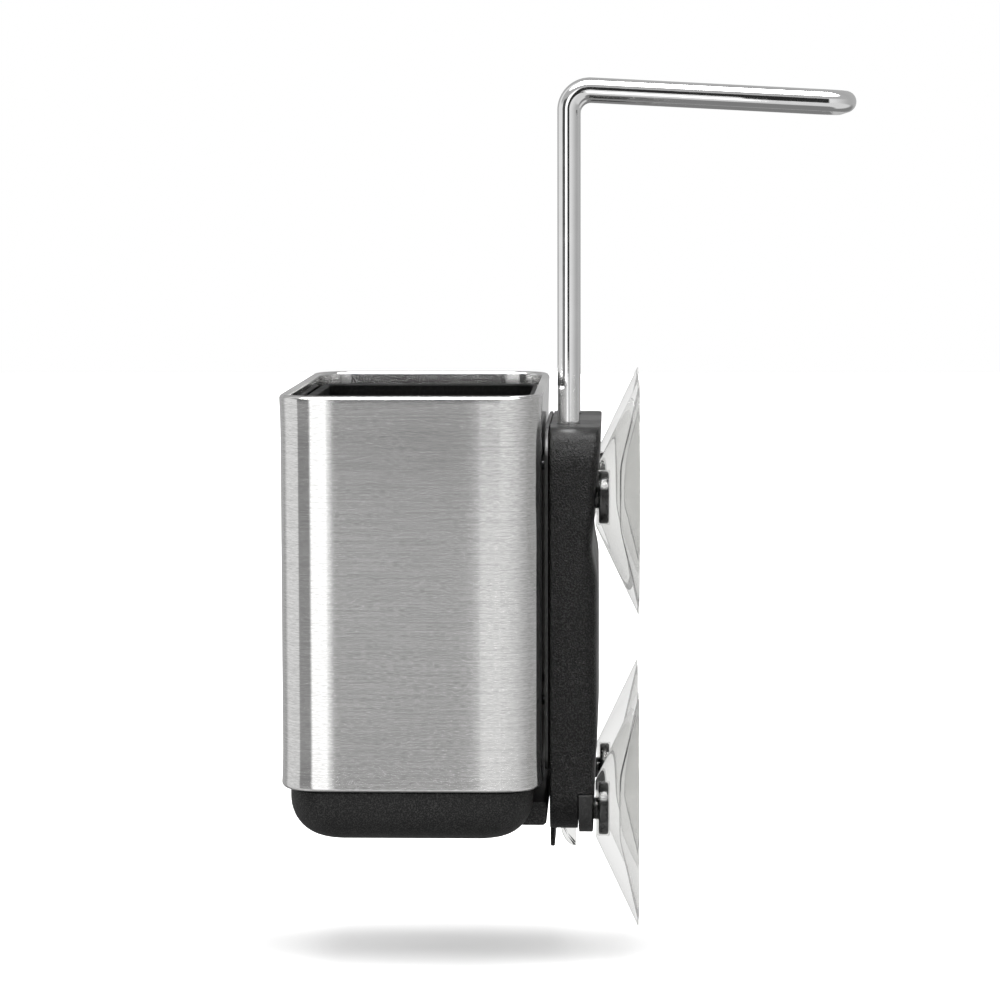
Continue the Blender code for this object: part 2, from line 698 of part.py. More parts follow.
def bracket_opening(name, inset, front_y, rear_y):
    """The bracket's inside, or the cover that closes it: its outline drawn in, between two planes."""
    radius = BRACKET_CORNER_RADIUS - inset
    outline = rounded_rectangle(
        BRACKET_WIDTH / 2 - inset, BRACKET_HEIGHT / 2 - inset, (radius,) * 4,
        BRACKET_CORNER_STEPS, X_AXIS, Z_AXIS,
    )
    start = Vector((0, front_y, BRACKET_FOOT_Z + BRACKET_HEIGHT / 2))
    return prism(name, outline, start, Y_AXIS * (rear_y - front_y))


def cover_screw_places():
    high = BRACKET_TOP_Z - COVER_SCREW_BELOW_TOP
    low = BRACKET_FOOT_Z + COVER_SCREW_ABOVE_FOOT
    levels = (("upper", high), ("lower", low))
    return [(sign * COVER_SCREW_X, z, side, level) for level, z in levels for side, sign in SIDES]


def cup_places():
    levels = (("upper", CUP_SPACING_Z / 2), ("lower", -CUP_SPACING_Z / 2))
    return [(sign * CUP_SPACING_X / 2, z, side, level) for level, z in levels for side, sign in SIDES]


def make_housing(finish, body):
    """Bracket housing: a hollow form, open behind, with hook slots, rod holes, screw posts and a tongue."""
    housing = bracket_form("bracket_housing", BRACKET_FOOT_Z)
    add(housing, tongue_form())
    side_x = BRACKET_WIDTH / 2 + OVERRUN
    lip_top = BRACKET_FOOT_Z + COVER_LIP_HEIGHT + FIT
    rebate_low = (-side_x, LIP_FRONT_Y - FIT, BRACKET_FOOT_Z - OVERRUN)
    cut(
        housing,
        bracket_opening("housing_hollow", BRACKET_SIDE_WALL, HOUSING_INNER_Y, OVERRUN),
        block("lip_rebate", rebate_low, (side_x, 2 * OVERRUN, lip_top)),
    )
    post_start = HOUSING_INNER_Y - BRACKET_FRONT_WALL / 2
    post_length = COVER_FRONT_Y - FIT - post_start
    add(housing, *[
        round_cutter(f"screw_post_{level}_{side}", SCREW_POST_RADIUS, x, z, post_start, post_length)
        for x, z, side, level in cover_screw_places()
    ])
    tip = SCREW_FACE_Y - COVER_SCREW_LENGTH - FIT
    holes = [
        round_cutter(f"post_hole_{level}_{side}", COVER_SCREW_RADIUS + FIT, x, z, tip, OVERRUN - tip)
        for x, z, side, level in cover_screw_places()
    ]
    for side, sign in SIDES:
        holes += [
            end_hole(f"rod_hole_{side}", sign * ROD_X, BRACKET_TOP_Z - BRACKET_END_WALL, ROD_RADIUS),
            end_hole(f"plug_hole_{side}", sign * ROD_X, BRACKET_FOOT_Z, PLUG_NECK_RADIUS),
            hook_slot(side, sign * HOOK_X),
        ]
    cut(housing, *holes)
    return dress(housing, finish, body, Vector((0, BRACKET_FRONT_Y, BRACKET_FOOT_Z)))


def tongue_form():
    """The thin tongue that carries the front wall on below the bracket, with round corners."""
    half_width = BRACKET_WIDTH / 2 - TONGUE_FROM_SIDE
    height = TONGUE_DROP + BRACKET_END_WALL / 2
    outline = rounded_rectangle(
        half_width, height / 2,
        (TONGUE_CORNER_RADIUS, TONGUE_CORNER_RADIUS, TONGUE_CORNER_RADIUS, TONGUE_CORNER_RADIUS),
        CORNER_STEPS, X_AXIS, Z_AXIS,
    )
    upper = [point for point in outline]
    for point in upper:
        if point.z > 0:
            point.x = math.copysign(half_width, point.x)
            point.z = height / 2
    start = Vector((0, BRACKET_FRONT_Y, BRACKET_FOOT_Z - TONGUE_DROP + height / 2))
    return prism("tongue_form", slim(upper), start, Y_AXIS * BRACKET_FRONT_WALL)


def end_hole(name, x, wall_foot_z, bar_radius):
    """Cutter for a round hole through the housing's top or bottom wall, clear of the bar that goes in it."""
    radius = bar_radius + FIT
    length = BRACKET_END_WALL + 2 * OVERRUN
    profile = ((0, 0), (radius, 0), (radius, length), (0, length))
    return lathe(name, profile, Vector((x, ROD_Y, wall_foot_z - OVERRUN)), ROD_SEGMENTS, Z_AXIS)


def hook_slot(side_name, x):
    """Slot in the front wall, tall enough to let the whole hook in before it drops."""
    half = HOOK_WIDTH / 2 + FIT
    top = HOOK_SLOT_Z + HOOK_NECK_HEIGHT + HOOK_TONGUE + 4 * FIT
    low_corner = (x - half, BRACKET_FRONT_Y - OVERRUN, HOOK_SLOT_Z)
    high_corner = (x + half, HOUSING_INNER_Y + FIT, top)
    return block(f"hook_slot_{side_name}", low_corner, high_corner)


def spot_faces():
    """Cutters for the flat round seats that clear the suction cups' cones."""
    return [
        lathe(
            f"spot_face_{level}_{side}",
            ((0, 0), (SPOT_FACE_RADIUS, 0), (SPOT_FACE_RADIUS, CUP_HEIGHT), (0, CUP_HEIGHT)),
            Vector((x, SPOT_FACE_Y, z)),
            CUP_SEGMENTS,
        )
        for x, z, side, level in cup_places()
    ]


def make_cover(finish, body):
    """Back cover: a plate that fills the housing's rear and follows its form, with a lip round its foot."""
    cover = bracket_form("bracket_back_cover", BRACKET_FOOT_Z - COVER_LIP_DROP)
    outline = bracket_opening("cover_outline", BRACKET_SIDE_WALL + FIT, COVER_FRONT_Y, OVERRUN)
    side_x = BRACKET_WIDTH / 2 + OVERRUN
    lip_low = (-side_x, LIP_FRONT_Y, BRACKET_FOOT_Z - COVER_LIP_DROP - OVERRUN)
    lip_high = (side_x, 2 * OVERRUN, BRACKET_FOOT_Z + COVER_LIP_HEIGHT)
    add(outline, block("cover_lip", lip_low, lip_high))
    combine(cover, "INTERSECT", [outline])
    boss_foot = SPOT_FACE_Y - COVER_THICKNESS / 2
    length = boss_foot - STUD_BOSS_Y
    bosses = [
        round_cutter(f"stud_boss_{level}_{side}", STUD_BOSS_RADIUS, x, z, STUD_BOSS_Y, length)
        for x, z, side, level in cup_places()
    ]
    shelf_front = ROD_Y + ROD_RADIUS + 2 * FIT
    for side, sign in SIDES:
        left = sign * ROD_X - SHELF_WIDTH / 2
        low = (left, shelf_front, SHELF_FOOT_Z)
        bosses.append(block(f"grip_shelf_{side}", low, (left + SHELF_WIDTH, boss_foot, SHELF_TOP_Z)))
    add(cover, *bosses)
    holes = spot_faces()
    start = STUD_BOSS_Y - OVERRUN
    for x, z, side, level in cup_places():
        holes.append(
            round_cutter(f"stud_hole_{level}_{side}", STUD_STEM_RADIUS + FIT, x, z, start, -start)
        )
    hole_radius = COVER_SCREW_RADIUS + FIT
    seat_radius = COVER_SCREW_HEAD_RADIUS + FIT
    for x, z, side, level in cover_screw_places():
        start = COVER_FRONT_Y - OVERRUN
        seat = SCREW_FACE_Y - COVER_SCREW_HEAD_HEIGHT - FIT
        holes += [
            round_cutter(f"cover_hole_{level}_{side}", hole_radius, x, z, start, -start),
            round_cutter(f"cover_seat_{level}_{side}", seat_radius, x, z, seat, OVERRUN - seat),
        ]
    cut(cover, *holes)
    return dress(cover, finish, body, Vector((0, COVER_FRONT_Y, BRACKET_FOOT_Z)))


def make_cover_screws(finish, body):
    """Cover screws, driven from the rear into the housing's posts."""
    face = SCREW_FACE_Y
    head_foot = face - COVER_SCREW_HEAD_HEIGHT
    for x, z, side, level in cover_screw_places():
        profile = (
            (0, face - COVER_SCREW_LENGTH),
            (COVER_SCREW_RADIUS - COVER_SCREW_EDGE, face - COVER_SCREW_LENGTH),
            (COVER_SCREW_RADIUS, face - COVER_SCREW_LENGTH + COVER_SCREW_EDGE),
            (COVER_SCREW_RADIUS, head_foot),
            (COVER_SCREW_HEAD_RADIUS, head_foot),
            (COVER_SCREW_HEAD_RADIUS, face - COVER_SCREW_EDGE),
            (COVER_SCREW_HEAD_RADIUS - COVER_SCREW_EDGE, face),
            (0, face),
        )
        screw = lathe(f"cover_screw_{level}_{side}", profile, Vector((x, 0, z)), SMALL_SEGMENTS)
        dress(screw, finish, body, Vector((x, face, z)))


def make_cups(cup_finish, stud_finish, body):
    """Suction cups: straight cones with a thick crown, each held at its neck by a mushroom stud."""
    neck = -CUP_HEIGHT
    pocket_front = neck + CUP_LIP
    pocket_rear = pocket_front + STUD_HEAD_THICKNESS + 2 * FIT
    pocket_radius = STUD_HEAD_RADIUS + FIT
    cup_profile = (
        (0, -CUP_CROWN_DEPTH),
        (CUP_CROWN_RADIUS, -CUP_CROWN_DEPTH),
        (CUP_RADIUS - CUP_RIM_LAND, 0),
        (CUP_RADIUS, 0),
        (CUP_RADIUS, -CUP_RIM_THICKNESS),
        (CUP_NECK_RADIUS, neck),
        (STUD_STEM_RADIUS + FIT, neck),
        (STUD_STEM_RADIUS + FIT, pocket_front),
        (pocket_radius, pocket_front),
        (pocket_radius, pocket_rear),
        (0, pocket_rear),
    )
    head_front = pocket_front + FIT
    head_rear = head_front + STUD_HEAD_THICKNESS
    stud_profile = (
        (0, head_front - STUD_STEM_LENGTH),
        (STUD_STEM_RADIUS - STUD_EDGE, head_front - STUD_STEM_LENGTH),
        (STUD_STEM_RADIUS, head_front - STUD_STEM_LENGTH + STUD_EDGE),
        (STUD_STEM_RADIUS, head_front),
        (STUD_HEAD_RADIUS - STUD_EDGE, head_front),
        (STUD_HEAD_RADIUS, head_front + STUD_EDGE),
        (STUD_HEAD_RADIUS, head_rear - STUD_EDGE),
        (STUD_HEAD_RADIUS - STUD_EDGE, head_rear),
        (0, head_rear),
    )
    for x, z, side, level in cup_places():
        centre = Vector((x, 0, z))
        cup = lathe(f"suction_cup_{level}_{side}", cup_profile, centre, CUP_SEGMENTS)
        dress(cup, cup_finish, body, centre)
        stud = lathe(f"cup_stud_{level}_{side}", stud_profile, centre, STUD_SEGMENTS)
        dress(stud, stud_finish, body, centre + Y_AXIS * head_front)


def rounded_path(corners, radii):
    """A path through corners, with an arc of the given radius at each inner one."""
    path = [corners[0]]
    for before, corner, after, radius in zip(corners, corners[1:], corners[2:], radii):
        way_in = (corner - before).normalized()
        way_out = (after - corner).normalized()
        half_turn = way_in.angle(way_out) / 2
        inward = (way_out - way_in).normalized()
        centre = corner + inward * (radius / math.cos(half_turn))
        along = (way_in + way_out).normalized()
        for i in range(LOOP_ARC_STEPS + 1):
            angle = half_turn * (2 * i / LOOP_ARC_STEPS - 1)
            path.append(centre - inward * (radius * math.cos(angle)) + along * (radius * math.sin(angle)))
    return path + [corners[-1]]


def rod_along(name, path):
    """A round rod along a path: a bevelled curve with filled caps, made a mesh so that it can be drilled."""
    line = bpy.data.curves.new(name, "CURVE")
    line.dimensions = "3D"
    line.bevel_depth = ROD_RADIUS
    line.bevel_resolution = ROD_RESOLUTION
    line.use_fill_caps = True
    spline = line.splines.new("POLY")
    spline.points.add(len(path) - 1)
    for point, place in zip(spline.points, path):
        point.co = (*place, 1)
    curve = bpy.data.objects.new(name, line)
    swept = bpy.data.meshes.new_from_object(curve)
    bpy.data.objects.remove(curve)
    bm = bmesh.new()
    bm.from_mesh(swept)
    bmesh.ops.remove_doubles(bm, verts=bm.verts, dist=MERGE)
    return object_from(name, bm)


def make_loop(finish, body):
    """Wire loop: one round rod up both legs and back over the wall line, with a cross bar at its far end."""
    top = BRACKET_TOP_Z + LOOP_RISE
    fall = (LOOP_REACH - ROD_Y) * math.tan(math.radians(LOOP_FALL_DEGREES))
    corners = [
        Vector((-ROD_X, ROD_Y, ROD_END_Z)),
        Vector((-ROD_X, ROD_Y, top)),
        Vector((-ROD_X, LOOP_REACH, top - fall)),
        Vector((ROD_X, LOOP_REACH, top - fall)),
        Vector((ROD_X, ROD_Y, top)),
        Vector((ROD_X, ROD_Y, ROD_END_Z)),
    ]
    radii = (LOOP_BEND_RADIUS, LOOP_END_RADIUS, LOOP_END_RADIUS, LOOP_BEND_RADIUS)
    loop = rod_along("hanger_loop", rounded_path(corners, radii))
    radius = YOKE_SCREW_RADIUS + FIT
    profile = ((0, -OVERRUN), (radius, -OVERRUN), (radius, YOKE_SCREW_LENGTH), (0, YOKE_SCREW_LENGTH))
    cut(loop, *[
        lathe(f"rod_bore_{side}", profile, Vector((sign * ROD_X, ROD_Y, ROD_END_Z)), SMALL_SEGMENTS, Z_AXIS)
        for side, sign in SIDES
    ])
    return dress(loop, finish, body, Vector((0, ROD_Y, ROD_END_Z)))


def make_yoke(finish, screw_finish, body):
    """Yoke: a bar with an open socket for each leg. A screw from below holds each leg in its socket."""
    half = ROD_X + YOKE_MARGIN
    front = ROD_Y - YOKE_OPENING
    rear = COVER_FRONT_Y - 2 * FIT
    edge = YOKE_EDGE
    outline = [
        Vector((-half, front, 0)), Vector((half, front, 0)), Vector((half, rear - edge, 0)),
        Vector((half - edge, rear, 0)), Vector((edge - half, rear, 0)), Vector((-half, rear - edge, 0)),
    ]
    yoke = prism("rod_yoke", outline, Vector((0, 0, YOKE_FOOT_Z)), Z_AXIS * YOKE_HEIGHT)
    socket = ROD_RADIUS + FIT
    bore = YOKE_SCREW_RADIUS + FIT
    hole_profile = (
        (0, -OVERRUN), (bore, -OVERRUN), (bore, YOKE_FLOOR),
        (socket, YOKE_FLOOR), (socket, YOKE_HEIGHT + OVERRUN), (0, YOKE_HEIGHT + OVERRUN),
    )
    places = [(side, Vector((sign * ROD_X, ROD_Y, YOKE_FOOT_Z))) for side, sign in SIDES]
    cut(yoke, *[
        lathe(f"yoke_hole_{side}", hole_profile, place, ROD_SEGMENTS, Z_AXIS) for side, place in places
    ])
    head_foot = -FIT - YOKE_SCREW_HEAD_HEIGHT
    screw_profile = (
        (0, head_foot), (YOKE_SCREW_HEAD_RADIUS - STUD_EDGE, head_foot),
        (YOKE_SCREW_HEAD_RADIUS, head_foot + STUD_EDGE), (YOKE_SCREW_HEAD_RADIUS, -FIT),
        (YOKE_SCREW_RADIUS, -FIT), (YOKE_SCREW_RADIUS, YOKE_SCREW_LENGTH), (0, YOKE_SCREW_LENGTH),
    )
    for side, place in places:
        screw = lathe(f"yoke_screw_{side}", screw_profile, place, SMALL_SEGMENTS, Z_AXIS)
        dress(screw, screw_finish, body, place)
    return dress(yoke, finish, body, Vector((0, ROD_Y, YOKE_FOOT_Z)))


def make_grips(finish, body):
    """Grip pads: rubber blocks on the cover's shelves, each with a saddle that bears on one leg."""
    front = ROD_Y + GRIP_WRAP
    rear = COVER_FRONT_Y - FIT
    low = SHELF_TOP_Z + FIT
    for side, sign in SIDES:
        x = sign * ROD_X
        half = GRIP_WIDTH / 2
        pad = block(f"grip_pad_{side}", (x - half, front, low), (x + half, rear, low + GRIP_HEIGHT))
        radius = ROD_RADIUS + FIT
        profile = ((0, 0), (radius, 0), (radius, GRIP_HEIGHT + 2 * OVERRUN), (0, GRIP_HEIGHT + 2 * OVERRUN))
        place = Vector((x, ROD_Y, low - OVERRUN))
        cut(pad, lathe(f"grip_saddle_{side}", profile, place, ROD_SEGMENTS, Z_AXIS))
        dress(pad, finish, body, Vector((x, ROD_Y, low)))


def make_plugs(finish, body):
    """Channel plugs: clear bumpers pushed into the housing's bottom, with a curved fin that hangs below."""
    flange_foot = BRACKET_END_WALL + FIT
    profile = (
        (0, -FIT - PLUG_ROOT), (PLUG_NECK_RADIUS, -FIT - PLUG_ROOT), (PLUG_NECK_RADIUS, flange_foot),
        (PLUG_FLANGE_RADIUS, flange_foot), (PLUG_FLANGE_RADIUS, flange_foot + PLUG_FLANGE_HEIGHT),
        (0, flange_foot + PLUG_FLANGE_HEIGHT),
    )
    fin_rear = PLUG_FIN_LENGTH / 2
    outline = [Vector((0, fin_rear, -FIT))]
    for i in range(PLUG_STEPS + 1):
        angle = math.pi / 2 * (1 - i / PLUG_STEPS)
        forward = PLUG_FIN_LENGTH * math.cos(angle)
        down = (PLUG_DROP - FIT) * math.sin(angle)
        outline.append(Vector((0, fin_rear - forward, -FIT - down)))
    for side, sign in SIDES:
        place = Vector((sign * ROD_X, ROD_Y, BRACKET_FOOT_Z))
        plug = lathe(f"channel_plug_{side}", profile, place, SMALL_SEGMENTS, Z_AXIS)
        start = place - X_AXIS * (PLUG_FIN_WIDTH / 2)
        add(plug, prism(f"plug_fin_{side}", outline, start, X_AXIS * PLUG_FIN_WIDTH))
        dress(plug, finish, body, place)


def liner_inset(z):
    """The liner's outer inset at a height: its walls close in slightly towards the foot."""
    share = (LINER_TOP_Z - z) / (LINER_TOP_Z - LINER_FOOT_Z)
    return LINER_INSET + LINER_DRAFT * share


def make_liner(finish, body):
    """Inner liner: a drafted tub with a rolled foot, a rim, a slotted floor and ribs for the divider."""
    roll = LINER_BOTTOM_RADIUS
    rings = []
    for i in range(LINER_BOTTOM_STEPS + 1):
        angle = math.pi / 2 * i / LINER_BOTTOM_STEPS
        z = LINER_FOOT_Z + roll * (1 - math.cos(angle))
        rings.append(caddy_ring(liner_inset(z) + roll * (1 - math.sin(angle)), z))
    rim_foot = LINER_TOP_Z - LINER_RIM_HEIGHT
    rim = liner_inset(LINER_TOP_Z) - LINER_RIM_REACH
    inner_foot = LINER_FLOOR_Z + roll - LINER_FLOOR
    rings += [
        caddy_ring(liner_inset(rim_foot), rim_foot),
        caddy_ring(rim, rim_foot + LINER_RIM_REACH),
        caddy_ring(rim, LINER_TOP_Z),
        caddy_ring(liner_inset(LINER_TOP_Z) + LINER_WALL, LINER_TOP_Z),
        caddy_ring(liner_inset(inner_foot) + LINER_WALL, inner_foot),
        caddy_ring(liner_inset(inner_foot) + roll - LINER_FLOOR + LINER_WALL, LINER_FLOOR_Z),
    ]
    liner = loft("inner_liner", rings)
    add(liner, *guide_ribs())
    clear = DIVIDER_THICKNESS / 2 + FIT + GUIDE_RIB_THICKNESS
    inner_half = SLEEVE_WIDTH / 2 - liner_inset(LINER_FLOOR_Z) - LINER_WALL
    bays = ((-inner_half, DIVIDER_X - clear), (DIVIDER_X + clear, inner_half))
    for bay, (low_x, high_x) in enumerate(bays):
        count = int((high_x - low_x - SLOT_PITCH) / SLOT_PITCH)
        cut(liner, *slot_cutters(
            f"liner_slot_{bay}", count, SLOT_PITCH, SLOT_LENGTH, (low_x + high_x) / 2,
            LINER_FOOT_Z - OVERRUN / 3, LINER_FLOOR_Z + OVERRUN,
        ))
    return dress(liner, finish, body, Vector((0, SLEEVE_MIDDLE_Y, LINER_FOOT_Z)))


def liner_half_depth(z):
    """Half the liner's inner depth, front to back, at a height."""
    return SLEEVE_DEPTH / 2 - liner_inset(z) - LINER_WALL


def guide_ribs():
    """Two pairs of upright ribs, front and rear, that leave a groove for the divider's edges."""
    ribs = []
    low = LINER_FLOOR_Z - LINER_FLOOR / 2
    high = LINER_FLOOR_Z + GUIDE_RIB_HEIGHT
    groove = DIVIDER_THICKNESS / 2 + FIT
    for face in (-1, 1):
        for side in (-1, 1):
            outline = []
            for z, reach in ((low, GUIDE_RIB_REACH), (high, GUIDE_RIB_REACH), (high, -LINER_WALL / 2),
                             (low, -LINER_WALL / 2)):
                y = SLEEVE_MIDDLE_Y + face * (liner_half_depth(z) - reach)
                outline.append(Vector((0, y, z)))
            x = DIVIDER_X + side * (groove + GUIDE_RIB_THICKNESS / 2) - GUIDE_RIB_THICKNESS / 2
            ribs.append(prism(
                f"guide_rib_{face + 1}_{side + 1}", outline, Vector((x, 0, 0)), X_AXIS * GUIDE_RIB_THICKNESS
            ))
    return ribs


def make_divider(finish, body):
    """Divider: a tapered plate that drops into the liner's grooves, with a scooped top edge."""
    low = DIVIDER_FOOT_Z
    high = low + DIVIDER_HEIGHT
    foot = liner_half_depth(low + DIVIDER_CORNER_RADIUS) - FIT
    head = liner_half_depth(high) - FIT
    corner = DIVIDER_CORNER_RADIUS
    middle = Vector((DIVIDER_X - DIVIDER_THICKNESS / 2, SLEEVE_MIDDLE_Y, 0))
    right = arc(
        Vector((0, foot - corner, low + corner)), corner, -math.pi / 2, 0, DIVIDER_STEPS // 2, Y_AXIS, Z_AXIS
    )
    right.append(Vector((0, head, high)))
    scoop_half = head - DIVIDER_SHOULDER
    for i in range(DIVIDER_STEPS + 1):
        share = i / DIVIDER_STEPS
        dip = (1 - math.cos(math.pi * share)) / 2
        right.append(Vector((0, scoop_half * (1 - share), high - DIVIDER_SCOOP * dip)))
    left = [Vector((0, -point.y, point.z)) for point in reversed(right[:-1])]
    divider = prism("divider", slim(right + left), middle, X_AXIS * DIVIDER_THICKNESS)
    return dress(divider, finish, body, Vector((DIVIDER_X, SLEEVE_MIDDLE_Y, low)))


def build():
    clear_scene()
    steel = brushed_steel()
    chrome = polished_steel()
    plastic = black_plastic()
    rubber = black_rubber()
    vinyl = clear_vinyl()
    fastener = zinc()

    wall_bracket = frame("wall_bracket", Vector((0, 0, 0)))
    hanger = frame("hanger_slide", Vector((0, ROD_Y, ROD_END_Z)))
    caddy = frame("caddy_lift", Vector((0, HOUSING_INNER_Y, HOOK_SLOT_Z)))
    liner = frame("liner_lift", Vector((0, SLEEVE_MIDDLE_Y, LINER_FOOT_Z)))
    divider = frame("divider_lift", Vector((DIVIDER_X, SLEEVE_MIDDLE_Y, DIVIDER_FOOT_Z)))

    make_housing(plastic, wall_bracket)
    make_cover(plastic, wall_bracket)
    make_cover_screws(fastener, wall_bracket)
    make_cups(vinyl, plastic, wall_bracket)
    make_grips(rubber, wall_bracket)
    make_plugs(vinyl, wall_bracket)

    make_loop(chrome, hanger)
    make_yoke(plastic, fastener, hanger)

    make_sleeve(steel, caddy)
    make_base(plastic, caddy)
    make_carrier(plastic, caddy)
    make_rivets(fastener, caddy)

    make_liner(plastic, liner)
    make_divider(plastic, divider)


build()
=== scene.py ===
"""Sink caddy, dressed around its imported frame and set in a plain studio.

Metres, +Z up. The wall is the plane Y = 0, and the caddy hangs in front of it, towards -Y.
"""

import bmesh
import bpy
import numpy as np
from mathutils import Matrix


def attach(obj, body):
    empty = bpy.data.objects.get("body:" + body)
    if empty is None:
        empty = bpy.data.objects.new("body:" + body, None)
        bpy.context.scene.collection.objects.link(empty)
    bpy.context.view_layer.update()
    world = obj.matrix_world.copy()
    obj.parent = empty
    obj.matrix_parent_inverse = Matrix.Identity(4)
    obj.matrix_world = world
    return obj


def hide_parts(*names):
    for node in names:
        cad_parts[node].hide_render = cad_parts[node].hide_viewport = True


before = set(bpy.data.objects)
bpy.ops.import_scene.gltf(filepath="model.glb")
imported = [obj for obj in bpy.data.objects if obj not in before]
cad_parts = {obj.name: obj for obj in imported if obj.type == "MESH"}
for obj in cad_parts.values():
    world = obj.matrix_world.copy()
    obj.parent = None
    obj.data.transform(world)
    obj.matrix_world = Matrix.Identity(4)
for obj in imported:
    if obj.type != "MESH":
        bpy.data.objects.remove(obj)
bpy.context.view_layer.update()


# Suction cups: four straight cones of soft clear vinyl, each moulded in one piece with a thick crown in
# its middle. A thin flat rim seals on the wall, and the narrow neck holds the stud's head in a pocket.
cup_places = [
    (f"{level}_{side}", x, z)
    for level, z in (("upper", 0.0433), ("lower", -0.0433))
    for side, x in (("left", -0.033), ("right", 0.033))
]
cup_profile = np.array([
    (0, -0.0052), (0.0084, -0.0052), (0.0308, -0.00002), (0.0322, -0.00002), (0.0322, -0.0004),
    (0.0078, -0.0121), (0.0033, -0.0121), (0.0033, -0.0114), (0.0075, -0.0114), (0.0075, -0.0080),
    (0, -0.0080),
])
cup_rounding = np.array([0, 0.0022, 0.0006, 0.0001, 0.0001, 0.0006, 0.0002, 0.0002, 0.0004, 0.0004, 0])


def eased(corners, setback, steps=6, ring=False):
    """Corner points with each corner C rounded: the curve (1-t)^2 A + 2t(1-t) C + t^2 B, from the point A
    that lies one setback before C to the point B one setback after it. A line keeps its two ends."""
    corners = np.asarray(corners, float)
    setback = np.broadcast_to(np.asarray(setback, float), len(corners))[:, None]
    back = np.roll(corners, 1, axis=0) - corners
    ahead = np.roll(corners, -1, axis=0) - corners
    back_length = np.linalg.norm(back, axis=1, keepdims=True)
    ahead_length = np.linalg.norm(ahead, axis=1, keepdims=True)
    reach = np.minimum(setback, 0.49 * np.minimum(back_length, ahead_length))
    start = (corners + back / back_length * reach)[:, None]
    end = (corners + ahead / ahead_length * reach)[:, None]
    t = np.linspace(0, 1, steps)[None, :, None]
    curves = (1 - t) ** 2 * start + 2 * t * (1 - t) * corners[:, None] + t ** 2 * end
    if ring:
        return curves.reshape(-1, corners.shape[1])
    inner = curves[1:-1].reshape(-1, corners.shape[1])
    return np.concatenate([corners[:1], inner, corners[-1:]])


def turned(profile, centre, axis, steps=96):
    """Grid of a turned form: point (i, j) is centre + r_i (cos a_j E1 + sin a_j E2) + h_i A, where (r_i, h_i)
    is the profile, A the axis, E1 and E2 square to it, and a_j runs once round."""
    axis = np.asarray(axis, float)
    first = np.array([1.0, 0, 0])
    second = np.cross(axis, first)
    angle = np.linspace(0, 2 * np.pi, steps, endpoint=False)
    ring = np.cos(angle)[:, None] * first + np.sin(angle)[:, None] * second
    profile = np.asarray(profile, float)
    return np.asarray(centre, float) + profile[:, :1, None] * ring + profile[:, 1:, None] * axis


def skin(name, grid, closed=False, sharp=40):
    """Mesh on a grid of points: each face joins (i, j), (i, j+1), (i+1, j+1) and (i+1, j), and the last
    column joins the first. A closed skin joins its last row to its first as well. Any other has both end
    rows drawn in to their middle points, which closes it."""
    if not closed:
        first = np.broadcast_to(grid[:1].mean(axis=1, keepdims=True), grid[:1].shape)
        last = np.broadcast_to(grid[-1:].mean(axis=1, keepdims=True), grid[-1:].shape)
        grid = np.concatenate([first, grid, last])
    spots = np.arange(grid.shape[0] * grid.shape[1]).reshape(grid.shape[:2])
    low, high = (spots, np.roll(spots, -1, axis=0)) if closed else (spots[:-1], spots[1:])
    faces = np.stack([low, np.roll(low, -1, axis=1), np.roll(high, -1, axis=1), high], axis=-1)
    mesh = bpy.data.meshes.new(name)
    mesh.from_pydata(grid.reshape(-1, 3).tolist(), [], faces.reshape(-1, 4).tolist())
    form = bmesh.new()
    form.from_mesh(mesh)
    bmesh.ops.remove_doubles(form, verts=form.verts, dist=2e-7)
    bmesh.ops.recalc_face_normals(form, faces=form.faces)
    form.to_mesh(mesh)
    form.free()
    mesh.shade_smooth()
    mesh.set_sharp_from_angle(angle=np.radians(sharp))
    piece = bpy.data.objects.new(name, mesh)
    bpy.context.scene.collection.objects.link(piece)
    return piece


def node(tree, kind, inputs=None, **settings):
    """Adds a shader node, sets its options, and joins or sets its sockets."""
    made = tree.nodes.new("ShaderNode" + kind)
    for option, value in settings.items():
        setattr(made, option, value)
    for socket, value in (inputs or {}).items():
        if isinstance(value, bpy.types.NodeSocket):
            tree.links.new(value, made.inputs[socket])
        else:
            made.inputs[socket].default_value = value
    return made


def new_finish(name, sockets):
    """A material with a Principled shader whose own sockets hold the given values."""
    finish = bpy.data.materials.new(name)
    finish.use_nodes = True
    shader = finish.node_tree.nodes["Principled BSDF"]
    for socket, value in sockets.items():
        shader.inputs[socket].default_value = value
    return finish, finish.node_tree, shader


def speckle(tree, scale, stretch=(1, 1, 1), detail=2.0, roughness=0.5, distortion=0.0):
    """Noise on the piece's own coordinates, with a count of grains per metre along each axis."""
    place = node(tree, "TexCoord").outputs["Object"]
    spread = node(tree, "Mapping", {"Vector": place, "Scale": stretch}).outputs["Vector"]
    sockets = {"Vector": spread, "Scale": scale, "Detail": detail, "Roughness": roughness}
    return node(tree, "TexNoise", {**sockets, "Distortion": distortion}).outputs["Fac"]


def ranged(tree, value, low, high, to_low, to_high):
    """Maps a value from one range to another, eased at both ends."""
    ends = {"Value": value, "From Min": low, "From Max": high, "To Min": to_low, "To Max": to_high}
    return node(tree, "MapRange", ends, interpolation_type="SMOOTHSTEP").outputs["Result"]


def tinted(tree, share, low, high):
    """A colour between two, by a share."""
    mix = node(tree, "Mix", {0: share, 6: (*low, 1), 7: (*high, 1)}, data_type="RGBA")
    return mix.outputs[2]


